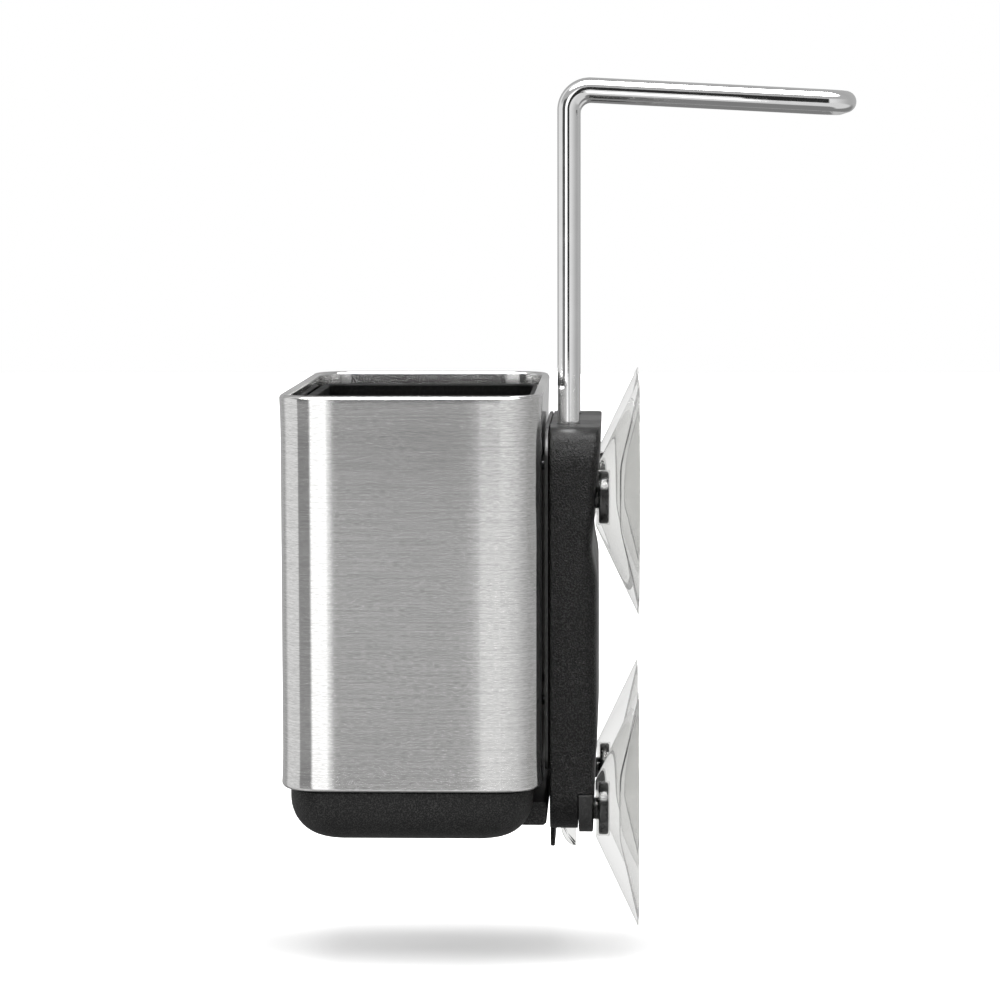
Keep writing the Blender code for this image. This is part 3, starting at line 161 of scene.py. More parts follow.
def vinyl(name, through, edge_on):
    """Clear soft vinyl: a faint tint straight through, painted shade that makes it greyer where it is seen
    edge on in place of the grey edges that bent light gives, slow waves from the mould and a haze that comes
    and goes."""
    finish, tree, shader = new_finish(name, {
        "Transmission Weight": 1.0, "IOR": 1.004, "Coat Weight": 0.4, "Coat Roughness": 0.12,
        "Coat IOR": 1.4,
    })
    haze = speckle(tree, 70, detail=3)
    tree.links.new(ranged(tree, haze, 0.35, 0.7, 0.02, 0.10), shader.inputs["Roughness"])
    wave = node(tree, "Bump", {"Height": speckle(tree, 130, detail=1), "Strength": 0.3, "Distance": 0.0003})
    # Painted shade: the tint turns greyer where the vinyl is seen edge on.
    facing = node(tree, "LayerWeight", {"Blend": 0.3, "Normal": wave.outputs["Normal"]}).outputs["Facing"]
    body = node(tree, "Math", {0: facing, 1: ranged(tree, haze, 0.3, 0.7, 0.8, 1.2)}, operation="MULTIPLY")
    tint = tinted(tree, body.outputs["Value"], through, edge_on)
    tree.links.new(tint, shader.inputs["Base Color"])
    tree.links.new(wave.outputs["Normal"], shader.inputs["Normal"])
    return finish


def settle(piece, finish, body, slot, *nodes):
    """Gives a piece its material, the body it moves with, and the nodes it stands for. Its slot is not used.
    """
    piece.data.materials.clear()
    piece.data.materials.append(finish)
    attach(piece, body)
    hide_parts(*nodes)


cup_vinyl = vinyl("cup_vinyl", (0.950, 0.950, 0.943), (0.905, 0.905, 0.895))
for place, x, z in cup_places:
    cup = skin(f"cup_{place}", turned(eased(cup_profile, cup_rounding, 8), (x, 0, z), (0, 1, 0), 128))
    settle(cup, cup_vinyl, "wall_bracket", "clear_vinyl", f"suction_cup_{place}")


# Cup studs: four mushroom studs of hard black plastic. The domed head sits in the cup's pocket, and the
# stem runs through the back cover's boss into the bracket.
stud_profile = np.array([
    (0, -0.0165), (0.0022, -0.0165), (0.0030, -0.0157), (0.0030, -0.0111), (0.0072, -0.0111),
    (0.0072, -0.0083), (0.0054, -0.0083), (0.0046, -0.0092), (0, -0.0092),
])
stud_rounding = np.array([0, 0.0002, 0.0002, 0.0003, 0.0007, 0.0008, 0.0004, 0.0004, 0])


def stud_plastic():
    """Hard black plastic with a moulded gloss: short flow marks in its roughness and a faint ripple."""
    finish, tree, shader = new_finish("stud_plastic", {"Specular IOR Level": 0.5})
    flow = speckle(tree, 420, detail=3)
    tint = tinted(tree, flow, (0.004, 0.004, 0.004), (0.012, 0.012, 0.0118))
    tree.links.new(tint, shader.inputs["Base Color"])
    tree.links.new(ranged(tree, flow, 0.3, 0.7, 0.14, 0.30), shader.inputs["Roughness"])
    ripple = node(tree, "Bump", {"Height": speckle(tree, 900), "Strength": 0.15, "Distance": 0.00005})
    tree.links.new(ripple.outputs["Normal"], shader.inputs["Normal"])
    return finish


stud_finish = stud_plastic()
for place, x, z in cup_places:
    stud = skin(f"stud_{place}", turned(eased(stud_profile, stud_rounding), (x, 0, z), (0, 1, 0), 64))
    settle(stud, stud_finish, "wall_bracket", "stud", f"cup_stud_{place}")


# Bracket housing: one deep moulding of black plastic with a leather grain, open behind. It has a flat
# front with slots for the carrier's hooks, cheeks that roll over to the rear, and a thin tongue below.
bracket_width = 0.086
bracket_foot = -0.0487
bracket_top = 0.0628
bracket_middle_z = (bracket_foot + bracket_top) / 2
bracket_rear = -0.0107
bracket_front = -0.0246
bracket_corner = 0.010
front_edge = 0.0008
relief_depth = 0.0022
roll_depth = 0.0055
roll_width = 0.0045
wall_inside = -0.0234
post_radius = 0.0036
screw_hole_radius = 0.0017
rod_hole_radius = 0.0033
plug_hole_radius = 0.0024
hook_places = (-0.031, 0.031)
rod_y = -0.0198
rod_places = (("left", -0.0205), ("right", 0.0205))
screw_places = [
    (f"{level}_{side}", x, z)
    for level, z in (("upper", 0.0173), ("lower", -0.0167))
    for side, x in (("left", -0.034), ("right", 0.034))
]
relief_table = (
    (0.0, 0.90), (0.14, 0.64), (0.25, 0.36), (0.50, 0.36), (0.62, 0.40),
    (0.71, 1.0), (0.81, 0.60), (0.91, 0.14), (1.0, 0.0),
)
roll_table = (
    (0.0, 0.42), (0.12, 0.54), (0.225, 0.67), (0.33, 0.85), (0.52, 1.0),
    (0.72, 0.90), (0.81, 0.74), (0.87, 0.65), (0.915, 0.56), (0.95, 0.40), (1.0, 0.22),
)


def read_table(table, at):
    """Values between a table's rows, each step eased by 3s^2 - 2s^3."""
    places, values = np.array(table).T
    row = np.clip(np.searchsorted(places, at) - 1, 0, len(places) - 2)
    share = (at - places[row]) / (places[row + 1] - places[row])
    return values[row] + (values[row + 1] - values[row]) * share ** 2 * (3 - 2 * share)


def bracket_grid(foot):
    """Grid of the bracket: at height z its half width is W/2 - r + sqrt(r^2 - (r - e)^2), where e is the
    distance to the nearer end and r the corner radius. Each section has a flat front with round edges,
    straight cheeks, and a quarter ellipse at the rear whose depth comes from the two tables."""
    foot_corner = bracket_corner + bracket_foot - foot
    rise = 1 - np.cos(np.linspace(0, np.pi / 2, 15))
    straight = np.linspace(foot + foot_corner, bracket_top - bracket_corner, 70)[1:-1]
    z = np.concatenate([foot + foot_corner * rise, straight, bracket_top - bracket_corner * rise[::-1]])
    share = np.clip((z - bracket_foot) / (bracket_top - bracket_foot), 0, 1)
    rear = bracket_rear - relief_depth * read_table(relief_table, share)
    roll = np.minimum(bracket_rear - roll_depth * read_table(roll_table, share), rear - 0.0003)
    end = np.minimum(np.minimum((z - foot) * bracket_corner / foot_corner, bracket_top - z), bracket_corner)
    reach = np.sqrt(np.maximum(bracket_corner ** 2 - (bracket_corner - end) ** 2, 0))
    half = (bracket_width / 2 - bracket_corner + reach)[:, None]
    turn = np.linspace(0, np.pi / 2, 7)[None]
    edge_x = half - front_edge * (1 - np.sin(turn))
    edge_y = np.broadcast_to(bracket_front + front_edge * (1 - np.cos(turn)), edge_x.shape)
    turn = np.linspace(0, np.pi / 2, 13)[None]
    roll_x = half - roll_width * (1 - np.cos(turn))
    roll_y = roll[:, None] + (rear - roll)[:, None] * np.sin(turn)
    x = np.concatenate([edge_x, roll_x], axis=1)
    y = np.concatenate([edge_y, roll_y], axis=1)
    x = np.concatenate([x, -x[:, ::-1]], axis=1)
    y = np.concatenate([y, y[:, ::-1]], axis=1)
    return np.stack([x, y, np.broadcast_to(z[:, None], x.shape)], axis=-1)


def rounded_outline(half_across, half_up, radius, steps=14):
    """Outline of a rectangle with round corners: each corner's arc is centred one radius in from both
    sides. The radius may be one number or four, from the high right corner round to the low right one."""
    radius = np.broadcast_to(np.asarray(radius, float), 4)[:, None]
    sign_across = np.array([1, -1, -1, 1])[:, None]
    sign_up = np.array([1, 1, -1, -1])[:, None]
    angle = np.arange(4)[:, None] * np.pi / 2 + np.linspace(0, np.pi / 2, steps)[None]
    across = sign_across * (half_across - radius) + radius * np.cos(angle)
    up = sign_up * (half_up - radius) + radius * np.sin(angle)
    return np.stack([across, up], axis=-1).reshape(-1, 2)


def drawn_in(outline, inset):
    """An outline moved inwards along its own normals, found from each point's two neighbours."""
    along = np.roll(outline, -1, axis=0) - np.roll(outline, 1, axis=0)
    along /= np.maximum(np.linalg.norm(along, axis=1, keepdims=True), 1e-12)
    return outline - inset * np.stack([along[:, 1], -along[:, 0]], axis=1)


def plate_grid(outline, low, high, edge=0.0, normal="y", steps=5):
    """Grid of a plate: an outline carried from one plane to another, drawn in by a quarter circle at both
    faces. The outline lies across the named axis."""
    if edge > 0:
        turn = np.linspace(0, np.pi / 2, steps)
        inset = edge * (1 - np.sin(turn))
        level = edge * (1 - np.cos(turn))
        insets = np.concatenate([inset, inset[::-1]])
        levels = np.concatenate([low + level, high - level[::-1]])
    else:
        insets = np.zeros(2)
        levels = np.array([low, high])
    rings = np.stack([drawn_in(outline, inset) if inset > 0 else outline for inset in insets])
    level = np.broadcast_to(levels[:, None], rings.shape[:2])
    parts = [rings[..., 0], rings[..., 1]]
    parts.insert("xyz".index(normal), level)
    return np.stack(parts, axis=-1)


def box_grid(low, high):
    """Grid of a plain box between two corners, for a cut or a small join."""
    half_x, half_z = (high[0] - low[0]) / 2, (high[2] - low[2]) / 2
    outline = np.array([(half_x, half_z), (-half_x, half_z), (-half_x, -half_z), (half_x, -half_z)])
    middle = np.array([(high[0] + low[0]) / 2, (high[2] + low[2]) / 2])
    return plate_grid(outline + middle, low[1], high[1])


def bar_grid(radius, centre, length, axis=(0, 1, 0), steps=48):
    """Grid of a round bar from a centre along an axis, for a hole or a post."""
    return turned(((0, 0), (radius, 0), (radius, length), (0, length)), centre, axis, steps)


def carve(piece, operation, forms):
    """One exact Boolean of a piece with several closed forms, made part of its mesh at once."""
    group = bpy.data.collections.new(f"{piece.name}_tools")
    bpy.context.scene.collection.children.link(group)
    tools = [
        form if isinstance(form, bpy.types.Object) else skin(f"{piece.name}_tool_{i}", form)
        for i, form in enumerate(forms)
    ]
    for tool in tools:
        bpy.context.scene.collection.objects.unlink(tool)
        group.objects.link(tool)
    step = piece.modifiers.new("carve", "BOOLEAN")
    step.operation = operation
    step.solver = "EXACT"
    step.operand_type = "COLLECTION"
    step.collection = group
    ready = piece.evaluated_get(bpy.context.evaluated_depsgraph_get())
    carved = bpy.data.meshes.new_from_object(ready)
    piece.modifiers.clear()
    piece.data = carved
    for tool in tools:
        bpy.data.objects.remove(tool)
    bpy.data.collections.remove(group)
    carved.shade_smooth()
    carved.set_sharp_from_angle(angle=np.radians(32))


def grained_plastic(name, dark, light, grain, depth, rough, gloss=0.5, edge_radius=0.00025):
    """Black plastic moulded in an etched tool: round pebbles of one size with finer ones between them, with
    their tops coloured lighter as a painted highlight for the lamp's glints, a slow change of gloss, and
    edges that are softly rounded. The relief fades out from 59 to 62 mm up, where the bracket's top face is
    plain."""
    finish, tree, shader = new_finish(name, {"Specular IOR Level": gloss})
    pebble = speckle(tree, grain, detail=1.5, roughness=0.45, distortion=0.6)
    fine = speckle(tree, grain * 2.7, detail=1)
    fine = node(tree, "Math", {0: fine, 1: 0.25}, operation="MULTIPLY").outputs["Value"]
    both = node(tree, "Math", {0: pebble, 1: fine}, operation="ADD").outputs["Value"]
    slow = speckle(tree, 45, detail=2)
    # Painted highlight: the high points of the pebbles are coloured lighter, in place of the lamp's glints on
    # them.
    top = ranged(tree, both, 0.61, 0.75, 0, 1)
    tree.links.new(tinted(tree, top, dark, light), shader.inputs["Base Color"])
    tree.links.new(ranged(tree, slow, 0.3, 0.7, rough - 0.06, rough + 0.06), shader.inputs["Roughness"])
    edge = node(tree, "Bevel", {"Radius": edge_radius}, samples=4).outputs["Normal"]
    height = node(tree, "SeparateXYZ", {"Vector": node(tree, "TexCoord").outputs["Object"]}).outputs["Z"]
    bump = node(tree, "Bump", {
        "Height": both, "Strength": ranged(tree, height, 0.0590, 0.0622, 1.0, 0.06), "Distance": depth,
        "Normal": edge,
    })
    tree.links.new(bump.outputs["Normal"], shader.inputs["Normal"])
    return finish


housing = skin("housing", bracket_grid(bracket_foot))
tongue_outline = rounded_outline(0.030, 0.0037, (0.0006, 0.0006, 0.003, 0.003)) + (0, -0.0514)
tongue = plate_grid(tongue_outline, bracket_front, wall_inside, 0.0003)
hollow_outline = rounded_outline(0.041, 0.05375, 0.008) + (0, bracket_middle_z)
hollow = plate_grid(hollow_outline, wall_inside, 0.003)
lip_notch = box_grid((-0.046, -0.0169, -0.0517), (0.046, 0.006, -0.0377))
posts = [bar_grid(post_radius, (x, -0.0240, z), 0.0089) for place, x, z in screw_places]
post_bores = [bar_grid(screw_hole_radius, (x, -0.0192, z), 0.02, steps=24) for place, x, z in screw_places]
rod_holes = [bar_grid(rod_hole_radius, (x, rod_y, 0.0578), 0.008, (0, 0, 1)) for side, x in rod_places]
plug_holes = [bar_grid(plug_hole_radius, (x, rod_y, -0.0517), 0.008, (0, 0, 1)) for side, x in rod_places]
hook_slots = [box_grid((x - 0.0053, -0.0276, 0.0393), (x + 0.0053, -0.0231, 0.0555)) for x in hook_places]
carve(housing, "UNION", [tongue])
carve(housing, "DIFFERENCE", [hollow, lip_notch])
carve(housing, "UNION", posts)
carve(housing, "DIFFERENCE", post_bores + rod_holes + plug_holes + hook_slots)
bracket_finish = grained_plastic(
    "bracket_plastic", (0.0008, 0.0008, 0.0008), (0.022, 0.022, 0.0214),
    grain=2400, depth=0.00040, rough=0.33, gloss=0.16,
)
settle(housing, bracket_finish, "wall_bracket", "bracket", "bracket_housing")


# Back cover: a black moulding that fills the housing's rear and follows its form, with a lip round its
# foot. Four bosses take the studs, two shelves carry the grip pads, and four screws hold it.
lip_drop = 0.0011
stem_hole_radius = 0.0033
cover = skin("back_cover", bracket_grid(bracket_foot - lip_drop))
cover_outline = rounded_outline(0.0407, 0.05345, 0.0077) + (0, bracket_middle_z)
cover_block = skin("cover_block", plate_grid(cover_outline, -0.0148, 0.003))
foot_lip = box_grid((-0.046, -0.0166, -0.0528), (0.046, 0.006, -0.0380))
bosses = [bar_grid(0.0058, (x, -0.0167, z), 0.0031) for place, x, z in cup_places]
shelves = [box_grid((x - 0.0055, -0.0162, 0.0461), (x + 0.0055, -0.0136, 0.0481)) for side, x in rod_places]
crown_wells = [bar_grid(0.0113, (x, -0.0124, z), 0.0121, steps=96) for place, x, z in cup_places]
stem_holes = [bar_grid(stem_hole_radius, (x, -0.0197, z), 0.0197) for place, x, z in cup_places]
screw_holes = [bar_grid(screw_hole_radius, (x, -0.0178, z), 0.0178, steps=24) for place, x, z in screw_places]
head_wells = [bar_grid(0.0030, (x, -0.0136, z), 0.0166) for place, x, z in screw_places]
carve(cover_block, "UNION", [foot_lip])
carve(cover, "INTERSECT", [cover_block])
carve(cover, "UNION", bosses + shelves)
carve(cover, "DIFFERENCE", crown_wells + stem_holes + screw_holes + head_wells)
cover_finish = grained_plastic(
    "cover_plastic", (0.004, 0.004, 0.0039), (0.020, 0.020, 0.0195), grain=1900, depth=0.00012, rough=0.42
)
settle(cover, cover_finish, "wall_bracket", "bracket", "bracket_back_cover")


# Cover screws: four small pan-head screws of zinc-plated steel with a cross recess, driven from behind
# through the cover into the housing's posts.
screw_profile = np.array([
    (0, -0.0189), (0.0010, -0.0189), (0.0014, -0.0185), (0.0014, -0.0133), (0.0027, -0.0133),
    (0.0027, -0.0124), (0.0016, -0.0121), (0, -0.0121),
])
screw_rounding = np.array([0, 0.0001, 0.0001, 0.0002, 0.0002, 0.0006, 0.0004, 0])


def plated_steel(name, dark, light):
    """Plated steel: a slightly blue metal, with cloudy patches in its tone and roughness."""
    finish, tree, shader = new_finish(name, {"Metallic": 1.0})
    cloud = speckle(tree, 700, detail=4, roughness=0.6)
    tree.links.new(tinted(tree, cloud, dark, light), shader.inputs["Base Color"])
    tree.links.new(ranged(tree, cloud, 0.3, 0.7, 0.22, 0.42), shader.inputs["Roughness"])
    dents = node(tree, "Bump", {"Height": cloud, "Strength": 0.2, "Distance": 0.00005})
    tree.links.new(dents.outputs["Normal"], shader.inputs["Normal"])
    return finish


zinc = plated_steel("zinc_plate", (0.56, 0.57, 0.58), (0.74, 0.75, 0.75))
cross_half, cross_half_width = 0.0014, 0.0003
for place, x, z in screw_places:
    screw = skin(f"screw_{place}", turned(eased(screw_profile, screw_rounding), (x, 0, z), (0, 1, 0), 48))
    carve(screw, "DIFFERENCE", [
        box_grid((x - across, -0.0128, z - up), (x + across, -0.0110, z + up))
        for across, up in ((cross_half, cross_half_width), (cross_half_width, cross_half))
    ])
    settle(screw, zinc, "wall_bracket", "fastener", f"cover_screw_{place}")


# Grip pads: two blocks of black rubber on the cover's shelves, each with a saddle that bears on one leg
# of the loop, so that the loop stays where it is drawn to.
def grip_rubber():
    """Matt black rubber with a bloom: a dusty grey that comes and goes over a fine open grain."""
    finish, tree, shader = new_finish("grip_rubber", {"Specular IOR Level": 0.35})
    bloom = speckle(tree, 260, detail=4, roughness=0.6)
    tint = tinted(tree, bloom, (0.016, 0.016, 0.016), (0.045, 0.045, 0.044))
    tree.links.new(tint, shader.inputs["Base Color"])
    tree.links.new(ranged(tree, bloom, 0.3, 0.7, 0.72, 0.90), shader.inputs["Roughness"])
    pores = node(tree, "Bump", {"Height": speckle(tree, 2600), "Strength": 0.6, "Distance": 0.00005})
    tree.links.new(pores.outputs["Normal"], shader.inputs["Normal"])
    return finish


def refinish(finish, *names):
    """Gives nodes that are already right in shape a better material."""
    for name in names:
        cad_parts[name].material_slots[0].material = finish


refinish(grip_rubber(), "grip_pad_left", "grip_pad_right")


# Channel plugs: two clear vinyl bumpers pushed up into the bottom of the housing's rod channels. A waist
# snaps into the hole, and a curved fin hangs below as a soft stop.
plug_profile = np.array([
    (0, -0.0502), (0.0021, -0.0502), (0.0021, -0.0464), (0.0029, -0.0464), (0.0029, -0.0452), (0, -0.0452),
])
sweep = np.linspace(np.pi / 2, 0, 24)
fin_outline = np.stack([0.00225 - 0.0045 * np.cos(sweep), -0.0490 - 0.0071 * np.sin(sweep)], axis=1)
fin_outline = np.concatenate([[(0.00225, -0.0490)], fin_outline]) + (rod_y, 0)
fin_outline = eased(fin_outline[::-1], 0.0007, 5, ring=True)
plug_vinyl = vinyl("plug_vinyl", (0.84, 0.84, 0.83), (0.70, 0.70, 0.69))
for side, x in rod_places:
    plug = skin(f"plug_{side}", turned(eased(plug_profile, 0.0003), (x, rod_y, 0), (0, 0, 1), 48))
    carve(plug, "UNION", [plate_grid(fin_outline, x - 0.0019, x + 0.0019, 0.0005, "x")])
    settle(plug, plug_vinyl, "wall_bracket", "clear_vinyl", f"channel_plug_{side}")


# Hanger loop: one 6 mm steel rod, bent cold and chrome plated. Two legs slide in the bracket, bend back
# over the wall line, fall slightly, and join in a cross bar at the far end.
loop_corners = np.array([
    (-0.0205, rod_y, -0.0354), (-0.0205, rod_y, 0.1558), (-0.0205, 0.0569, 0.15169),
    (0.0205, 0.0569, 0.15169), (0.0205, rod_y, 0.1558), (0.0205, rod_y, -0.0354),
])
loop_bends = (0.006, 0.0058, 0.0058, 0.006)
rod_radius = 0.003


def bent_path(corners, bends, arc_steps=28, straight_steps=30):
    """A path of straight runs and arcs: at each corner the arc's centre C lies inwards by r / cos(h), where h
    is half the turn, and its points are C - r cos(a) inwards + r sin(a) along, for a from -h to h."""
    back = corners[1:-1] - corners[:-2]
    ahead = corners[2:] - corners[1:-1]
    back /= np.linalg.norm(back, axis=1, keepdims=True)
    ahead /= np.linalg.norm(ahead, axis=1, keepdims=True)
    half = np.arccos(np.clip((back * ahead).sum(axis=1), -1, 1)) / 2
    inwards = (ahead - back) / np.linalg.norm(ahead - back, axis=1, keepdims=True)
    along = (ahead + back) / np.linalg.norm(ahead + back, axis=1, keepdims=True)
    radius = np.array(bends)
    centre = corners[1:-1] + inwards * (radius / np.cos(half))[:, None]
    angle = (np.linspace(-1, 1, arc_steps)[None] * half[:, None])[..., None]
    radius = radius[:, None, None]
    arcs = centre[:, None] + radius * (np.sin(angle) * along[:, None] - np.cos(angle) * inwards[:, None])
    starts = np.concatenate([corners[:1], arcs[:, -1]])
    ends = np.concatenate([arcs[:, 0], corners[-1:]])
    share = np.linspace(0, 1, straight_steps)[None, 1:-1, None]
    runs = starts[:, None] * (1 - share) + ends[:, None] * share
    path = [corners[:1]]
    for run, bend in zip(runs, arcs):
        path += [run, bend]
    return np.concatenate([*path, runs[-1], corners[-1:]])


def swept(path, radius, steps=48):
    """Grid of a round rod: point (i, j) is p_i + r (cos a_j N_i + sin a_j B_i), where N and B are square to
    the path's direction T and found from one fixed vector that T never meets."""
    run = np.concatenate([[0], np.cumsum(np.linalg.norm(np.diff(path, axis=0), axis=1))])
    along = np.gradient(path, run, axis=0)
    along /= np.linalg.norm(along, axis=1, keepdims=True)
    normal = np.cross(along, np.array([0.6, -0.64, -0.48]))
    normal /= np.linalg.norm(normal, axis=1, keepdims=True)
    other = np.cross(along, normal)
    angle = np.linspace(0, 2 * np.pi, steps, endpoint=False)[None, :, None]
    return path[:, None] + radius * (np.cos(angle) * normal[:, None] + np.sin(angle) * other[:, None])


def chrome():
    """Bright chrome plate: a cool mirror, with the faint waviness of drawn rod under it and fine wiping
    marks that run round the rod."""
    finish, tree, shader = new_finish("chrome_plate", {"Metallic": 1.0})
    wear = speckle(tree, 90, detail=5, roughness=0.65)
    tree.links.new(tinted(tree, wear, (0.70, 0.70, 0.70), (0.86, 0.86, 0.86)), shader.inputs["Base Color"])
    tree.links.new(ranged(tree, wear, 0.35, 0.75, 0.05, 0.14), shader.inputs["Roughness"])
    wave = speckle(tree, 260, detail=1)
    marks = speckle(tree, 1, (300, 300, 5000), detail=2)
    slow = node(tree, "Bump", {"Height": wave, "Strength": 0.3, "Distance": 0.00005})
    fine = node(tree, "Bump", {
        "Height": marks, "Strength": 0.25, "Distance": 0.000008, "Normal": slow.outputs["Normal"],
    })
    tree.links.new(fine.outputs["Normal"], shader.inputs["Normal"])
    return finish


loop = skin("hanger_rod", swept(bent_path(loop_corners, loop_bends), rod_radius))
screw_bores = [bar_grid(0.0015, (x, rod_y, -0.0384), 0.0105, (0, 0, 1)) for side, x in rod_places]
carve(loop, "DIFFERENCE", screw_bores)
settle(loop, chrome(), "hanger", "loop_chrome", "hanger_loop")


# Rod yoke: a black plastic bar inside the bracket that joins the loop's legs, with a screw from below
# into each rod. It is closed in behind the cover.
yoke_finish = grained_plastic(
    "yoke_plastic", (0.014, 0.014, 0.014), (0.040, 0.040, 0.039), grain=1700, depth=0.00004, rough=0.5
)
refinish(yoke_finish, "rod_yoke")
refinish(zinc, "yoke_screw_left", "yoke_screw_right")


# Carrier plate: a thin moulded plate in the bracket's outline, held to the sleeve's rear by four rivets
# that are plated black. Two hooks drop behind the housing's front wall, so the caddy lifts straight off.
hook_half_width = 0.005
rivet_radius = 0.0016
rivet_places = [(x, z) for z in (0.0513, -0.0147) for x in (-0.022, 0.022)]
carrier_outline = rounded_outline(0.042, 0.04725, (0.010, 0.010, 0.006, 0.006)) + (0, 0.01555)
carrier = skin("carrier", plate_grid(carrier_outline, -0.0260, -0.0249, 0.0003))
neck = np.array([(-0.0220, 0.0396), (-0.0220, 0.0456), (-0.02545, 0.0456), (-0.02545, 0.0396)])
hook = np.array([
    (-0.0216, 0.0306), (-0.0216, 0.04485), (-0.02235, 0.0456), (-0.0231, 0.0456), (-0.0231, 0.03135),
    (-0.02235, 0.0306),
])
carve(carrier, "UNION", [
    plate_grid(outline, x - hook_half_width, x + hook_half_width, 0, "x")
    for x in hook_places for outline in (neck, hook)
])
rivet_bore = np.array([
    (0, -0.0290), (rivet_radius, -0.0290), (rivet_radius, -0.0256), (0.0025, -0.02505), (0.0025, -0.0246),
    (0, -0.0246),
])
carve(carrier, "DIFFERENCE", [turned(rivet_bore, (x, 0, z), (0, 1, 0), 32) for x, z in rivet_places])
carrier_finish = grained_plastic(
    "carrier_plastic", (0.006, 0.006, 0.0059), (0.022, 0.022, 0.0213), grain=1600, depth=0.00005, rough=0.40
)
settle(carrier, carrier_finish, "caddy", "bracket", "carrier_plate")
black_plate = plated_steel("black_plate", (0.030, 0.030, 0.032), (0.075, 0.075, 0.078))
rivets = [f"carrier_rivet_{level}_{side}" for level in ("upper", "lower") for side in ("left", "right")]
refinish(black_plate, *rivets)


# Steel sleeve: a strip of stainless steel, brushed level, bent round to a box with soft corners, welded
# behind, and hemmed inwards at its rim and its foot.
caddy_middle_y = -0.06195
caddy_half_width = 0.0625
caddy_half_depth = 0.03535
caddy_corner = 0.012
corner_reach = 0.0165
corner_power = 2.95
sleeve_foot = -0.0340
sleeve_height = 0.107
hem = 0.0011
turn = np.linspace(0, np.pi, 21)
hem_reach = np.where(turn < np.pi / 2, hem + 0.0003, hem)
top_hem = np.stack([hem - hem_reach * np.cos(turn), sleeve_height - hem + hem * np.sin(turn)], axis=1)
foot_hem = np.stack([top_hem[::-1, 0], sleeve_height - top_hem[::-1, 1]], axis=1)
flare = np.linspace(0, 1, 9)[1:-1]
flare_inset = -0.0003 * flare ** 2
flare_height = 0.095 + 0.0109 * flare
sleeve_section = np.concatenate([
    np.stack([np.zeros(14), np.linspace(0.012, 0.095, 14)], axis=1),
    np.stack([flare_inset, flare_height], axis=1),
    top_hem,
    [(0.0022, 0.1036), (0.0008, 0.1036), (0.0008, 0.0024), (0.0022, 0.0024)],
    foot_hem,
    np.stack([flare_inset[::-1], sleeve_height - flare_height[::-1]], axis=1),
])


def caddy_rings(section, foot_z, radii=None):
    """Grid of the caddy's outline at each (inset, height) of a section: a rectangle with round corners,
    drawn in by the inset, whose corner radius shrinks by as much unless it is given."""
    rings = []
    for i, (inset, height) in enumerate(section):
        radius = max(caddy_corner - inset, 0.0003) if radii is None else radii[i]
        outline = rounded_outline(caddy_half_width - inset, caddy_half_depth - inset, radius, 18)
        level = np.full((len(outline), 1), foot_z + height)
        rings.append(np.concatenate([outline + (0, caddy_middle_y), level], axis=1))
    return np.stack(rings)


def soft_outline(half_across, half_up, reach, power, steps=26):
    """Outline of a sheet bent round a box: each corner starts one reach before the sharp corner and follows
    |u|^p + |v|^p = 1, which turns slowly at both ends and fastest in its middle."""
    turn = np.linspace(0, np.pi / 2, steps)
    across_share = np.cos(turn) ** (2 / power)
    up_share = np.sin(turn) ** (2 / power)
    corners = []
    for sign_across, sign_up, flip in ((1, 1, False), (-1, 1, True), (-1, -1, False), (1, -1, True)):
        across = sign_across * (half_across - reach * (1 - across_share))
        up = sign_up * (half_up - reach * (1 - up_share))
        corner = np.stack([across, up], axis=1)
        corners.append(corner[::-1] if flip else corner)
    return np.concatenate(corners)


def sleeve_rings(section):
    """Grid of the sleeve: its outline drawn in by each inset of the section, at each height."""
    outline = soft_outline(caddy_half_width, caddy_half_depth, corner_reach, corner_power)
    rings = [drawn_in(outline, inset) + (0, caddy_middle_y) for inset, height in section]
    heights = [np.full((len(outline), 1), sleeve_foot + height) for inset, height in section]
    return np.stack([np.concatenate([ring, height], axis=1) for ring, height in zip(rings, heights)])


def brushed_steel():
    """Stainless steel brushed level: long fine scratches of several widths in its tone, roughness and
    relief, which spread each reflection upright."""
    finish, tree, shader = new_finish("brushed_steel", {
        "Metallic": 1.0, "Anisotropic": 1.0, "Anisotropic Rotation": 0.25,
    })
    fine = speckle(tree, 1, (560, 560, 6500), detail=3, roughness=0.65)
    coarse = speckle(tree, 1, (60, 60, 3000), detail=1, roughness=0.5)
    broad = speckle(tree, 9, detail=2)
    coarse = node(tree, "Math", {0: coarse, 1: 0.3}, operation="MULTIPLY").outputs["Value"]
    broad = node(tree, "Math", {0: broad, 1: 0.3}, operation="MULTIPLY").outputs["Value"]
    both = node(tree, "Math", {0: fine, 1: coarse}, operation="ADD").outputs["Value"]
    share = node(tree, "Math", {0: both, 1: broad}, operation="ADD").outputs["Value"]
    tone = ranged(tree, share, 0.55, 1.05, 0, 1)
    tint = tinted(tree, tone, (0.535, 0.532, 0.527), (0.765, 0.762, 0.756))
    tree.links.new(tint, shader.inputs["Base Color"])
    tree.links.new(ranged(tree, both, 0.4, 0.9, 0.13, 0.155), shader.inputs["Roughness"])
    relief = node(tree, "Bump", {"Height": both, "Strength": 0.3, "Distance": 0.0000006})
    tree.links.new(relief.outputs["Normal"], shader.inputs["Normal"])
    return finish


sleeve = skin("sleeve", sleeve_rings(sleeve_section), closed=True)
rivet_holes = [bar_grid(rivet_radius, (x, -0.0282, z), 0.003, steps=32) for x, z in rivet_places]
carve(sleeve, "DIFFERENCE", rivet_holes)
settle(sleeve, brushed_steel(), "caddy", "sleeve_steel", "steel_sleeve")


